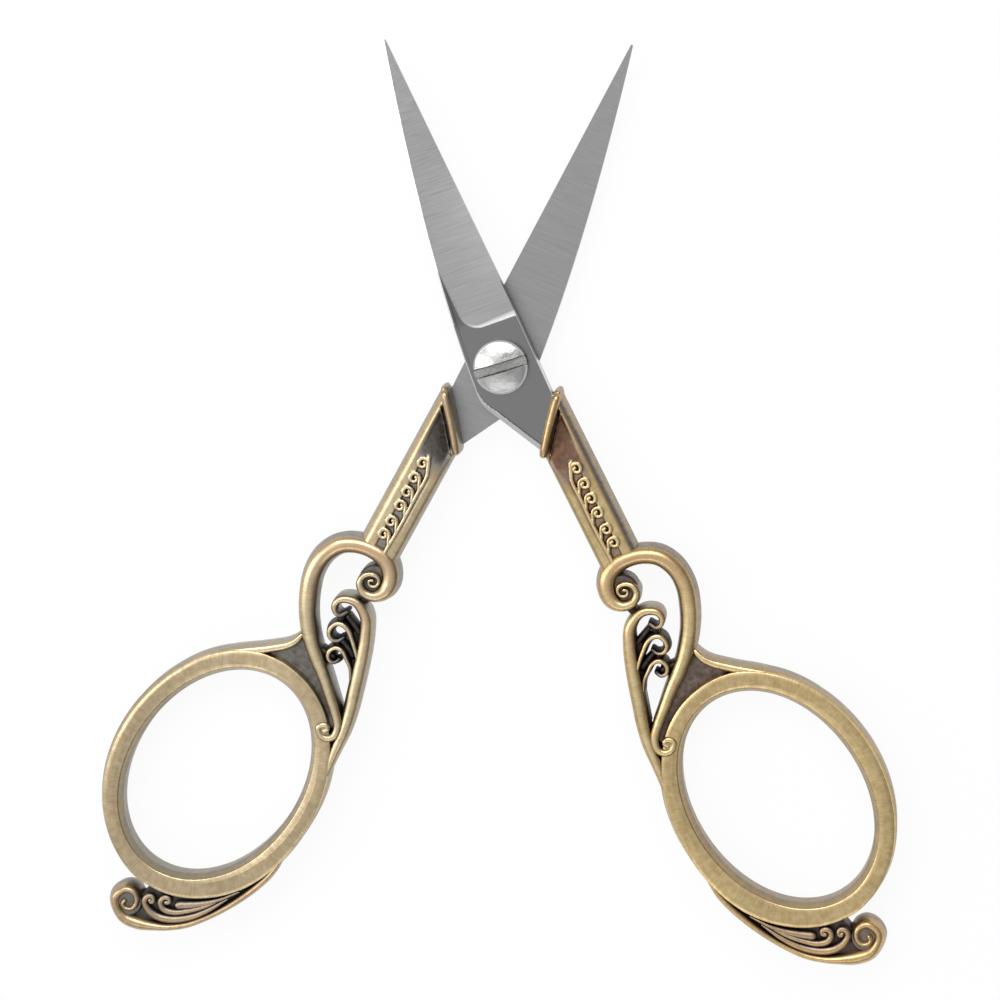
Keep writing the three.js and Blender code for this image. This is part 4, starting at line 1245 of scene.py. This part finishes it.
def blade():
    """Rows along v: outer face from spine to edge, then the inner face back."""
    spine, edge = blade_edges()
    starts, counts = zip(*BLADE_STATIONS)
    stops = [*starts[1:], BLADE_LENGTH]
    spans = [np.linspace(a, b, n, endpoint=False) for a, b, n in zip(starts, stops, counts)]
    v = np.concatenate([[spine[0, 1]], *spans, [BLADE_LENGTH]])[:, None]
    spine_u, edge_u = (np.interp(v, side[:, 1], side[:, 0]) for side in (spine, edge))
    u = spine_u + (edge_u - spine_u) * ACROSS
    plan = np.stack(np.broadcast_arrays(u, v), axis=2)
    level, finish, bright = grind(*np.moveaxis(plan, 2, 0), spine_u, edge_u)
    points = np.concatenate([raised(plan, level), raised(plan, INNER_FACE)[:, ::-1]], axis=1)
    finish = np.concatenate([finish, np.full_like(u, INNER_GROUND)], axis=1)
    bright = np.concatenate([bright, np.zeros_like(u)], axis=1)
    return surface(points, finish, bright, cap=INNER_FACE + END_CAP)


blade_grids = tell("blade", [blade()])

# %% [markdown]
# ## Ground steel
# Stainless steel off a grinding belt shows fine lines across the blade, where each grit ran. The flat round
# the pivot was only pressed and tumbled, so it is smoother and reflects a darker room, and its colour is
# painted darker for that room as well. An anisotropic shader could stretch the highlights, but would show no
# single line. Stretched noise does, and its lines are a little coarser than the belt's own, which are finer
# than a pixel here. On steel, rub is the ground share, darker below 0, where lines of painted shade run along
# the spine, and warm carries painted highlights on polished edges and along the fillet.

# %% Ground steel
GROUND = "#B8B8B8"
GROUND_DARK = "#9F9F9F"
# tumbled flat, its colour painted darker for the darker room it reflects
TUMBLED_DARKER_REFLECTION = "#8B8B8B"
# dark colour for the painted shade lines and for the darker strip beyond v = 5
DARK_STEEL = "#2C2C2C"
# painted highlight colour for polished edges and the fillet
PAINTED_HIGHLIGHT = "#F4F4F4"
GRIT_MM = (0.07, 5.0)
GRIT_TURN = 3.0
GRIT_DEPTH_MM = 0.008
GRIT_STRENGTH = 0.3
TUMBLED_TO_GROUND = (0.26, 0.40)


def ground_steel():
    """Stainless steel: belt lines across ground faces, a smooth tumbled flat painted darker elsewhere,
    painted highlights at edges and on the fillet.
    """
    material, tree = new_material("stainless_steel_belt_ground")
    ground, bright = finish_values(tree)
    grit = scratches(tree, GRIT_MM, GRIT_TURN)
    lines = add_node(tree, "ValToRGB", {0: grit}, [(0.32, GROUND_DARK), (0.68, GROUND)])
    colour = blend(tree, ground, TUMBLED_DARKER_REFLECTION, lines)
    colour = blend(tree, maths(tree, "MULTIPLY", ground, -1.0), colour, DARK_STEEL)
    colour = blend(tree, bright, colour, PAINTED_HIGHLIGHT)
    strength = maths(tree, "MULTIPLY", ground, GRIT_STRENGTH, use_clamp=True)
    relief = bump(tree, grit, GRIT_DEPTH_MM * MM, strength)
    metal(tree, colour, remap(tree, ground, new=TUMBLED_TO_GROUND), relief)
    return material


steel = ground_steel()
for half in ("front", "rear"):
    make_piece(f"{half}_ground_blade", half, blade_grids, steel, f"{half}_blade")

# %% [markdown]
# ## Pivot screw
# A domed screw of polished nickel holds the blades together. Its slot could be cut with a boolean. Drawn in
# slices across the slot it needs none: each slice climbs the rim, follows the dome, drops into the slot and
# climbs out again, and the slices shrink to nothing at both ends of the slot. Two dull marks look like slips
# of a driver.

# %% Screw head
HEAD_RADIUS = 3.0
HEAD_SEAT = 1.8
HEAD_RIM = 0.6
HEAD_DOME = 0.8
HEAD_TOP = HEAD_SEAT + HEAD_RIM + HEAD_DOME
SEAT_SINK = 0.05
RIM_ROUND = 0.12
RIM_STEEP = 0.98
SCREW_SLICES = 64
DOME_STEPS = 16
DOME_CROWDING = 1.8
SLOT_HALF_WIDTH = 0.52
SLOT_DEPTH = 0.7
SLOT_LIP = 0.06
SLOT_COLUMNS = np.array([0.0, 0.72, 0.98])
SLOT_WALL = 0.999
# SLOT_RUB gives the rub at shares of the slot's half width, counted from its middle. Its dip next to the
# walls is painted shade along the slot's edges.
SLOT_RUB = ((0.0, 0.75, 0.97, 0.999, 1.02), (0.25, 0.25, -0.6, -0.3, 1.0))
DRIVER_MARKS = [(0.9, 1.1, 0.75, 0.35, 1.1), (0.9, -0.72, 0.6, 0.2, 0.9)]
LEAST_GAP = 1e-6


def dome(radius):
    """Level of the head at a distance from its axis: a shallow parabola that turns down in a rounded rim."""
    share = np.clip(radius / HEAD_RADIUS, 0, 1)
    fall = np.clip((radius - HEAD_RADIUS + RIM_ROUND) / RIM_ROUND, 0, 1)
    return HEAD_TOP - HEAD_DOME * share**2 - RIM_ROUND * (1 - np.sqrt(1 - RIM_STEEP * fall**2))


def screw_head():
    """Slices along the slot: x is the radius times a sine, and each slice is as wide as the circle is there.
    At each driver mark, a bell curve of (x, y, spread along x, spread along y, depth) dulls the plate."""
    x = HEAD_RADIUS * np.sin(np.radians(np.linspace(-90, 90, SCREW_SLICES)))[:, None]
    wide = np.sqrt(np.maximum(HEAD_RADIUS**2 - x**2, 0))
    gap = np.minimum(SLOT_HALF_WIDTH, wide)
    y = gap + (wide - gap) * (1 - (1 - np.linspace(0, 1, DOME_STEPS)) ** DOME_CROWDING)
    floor = np.full_like(x, HEAD_TOP - SLOT_DEPTH)
    seat = np.full_like(x, HEAD_SEAT - SEAT_SINK)
    level = np.maximum(dome(np.hypot(x, y)), floor)
    lip_y = gap + SLOT_LIP * (wide > gap + SLOT_LIP)
    wall_top = np.maximum(level[:, :1] - SLOT_LIP, floor)
    half_y = np.hstack([gap * SLOT_COLUMNS, gap * SLOT_WALL, lip_y, y[:, 1:], wide])
    half_z = np.hstack([np.repeat(floor, len(SLOT_COLUMNS), axis=1), wall_top, level, seat])
    across = np.hstack([-half_y[:, ::-1], half_y[:, 1:]])
    up = np.hstack([half_z[:, ::-1], half_z[:, 1:]])
    from_slot = np.abs(across) / np.maximum(gap, LEAST_GAP)
    rub = np.interp(from_slot, *SLOT_RUB)
    for at_x, at_y, spread_x, spread_y, dull in DRIVER_MARKS:
        mark = np.exp(-(((x - at_x) / spread_x) ** 2) - ((across - at_y) / spread_y) ** 2)
        rub = rub - dull * mark * (from_slot > 1)
    return surface(np.stack([np.broadcast_to(x, across.shape), across, up], axis=2), rub)


head_grid = screw_head()
tell("screw head", [head_grid])

# %% Screw end
SLOT_ANGLE = 18.5
END_COLUMNS = 40
END_PROFILE = [(0.0, -0.03), (1.0, -0.03), (1.5, -0.03), (1.62, -0.01), (1.7, 0.05), (1.7, 0.6), (0.0, 0.6)]


def screw_end():
    """The flush end of the screw: a low round-topped button, one ring of points for each (radius, level)."""
    radius, level = np.array(END_PROFILE).T[..., None]
    return surface(raised(radius[..., None] * circle(END_COLUMNS), level - pivot_height), 1.0)


def in_rear_plane(grid, degrees):
    """A grid drawn about the pivot in the frame, turned and carried back into the rear half's own plane."""
    turned = grid["points"] @ turn("z", degrees).T * (-1, 1, -1)
    return {**grid, "points": turned @ turn("z", -HALF_ANGLE).T}


screw_grids = tell("screw", [in_rear_plane(head_grid, SLOT_ANGLE), in_rear_plane(screw_end(), 0)])

# %% [markdown]
# ## Polished nickel
# The head was turned, plated with nickel and polished, so it reflects the soft boxes, and shallow dents bend
# what it reflects. The slot was never polished, and keeps tool marks and grime, and painted shade darkens it
# along its walls. Two materials could share the head. One is enough here, because each point carries how far
# it was polished, and the tool marks' fine noise shows only where that is little.

# %% Polished nickel
NICKEL_STOPS = [(0.0, "#2E2D2C"), (1.0, "#C4C4C2"), (0.45, "#8E8D8A")]
DENT_MM = 0.6
DENT_DEPTH_MM = 0.08
DENT_STRENGTH = 0.6
TOOL_MARK_MM = 0.13
TOOL_MARK_DEPTH_MM = 0.04
CUT_TO_POLISHED = (0.5, 0.31)


def polished_nickel():
    """Nickel plate over a turned head: bright with soft dents, duller and rough in the slot."""
    material, tree = new_material("nickel_plate_polished")
    bright = finish_values(tree)[0]
    place = add_node(tree, "TexCoord", give="Object")
    marks = noise(tree, place, TOOL_MARK_MM * MM)
    cut = maths(tree, "SUBTRACT", 1.0, bright, use_clamp=True)
    colour = add_node(tree, "ValToRGB", {0: maths(tree, "MULTIPLY_ADD", marks, cut, bright)}, NICKEL_STOPS)
    relief = bump(tree, noise(tree, place, DENT_MM * MM), DENT_DEPTH_MM * MM, DENT_STRENGTH)
    relief = bump(tree, marks, TOOL_MARK_DEPTH_MM * MM, cut, relief)
    metal(tree, colour, remap(tree, bright, new=CUT_TO_POLISHED), relief)
    return material


make_piece("slotted_pivot_screw", "rear", screw_grids, polished_nickel(), "pivot_screw")
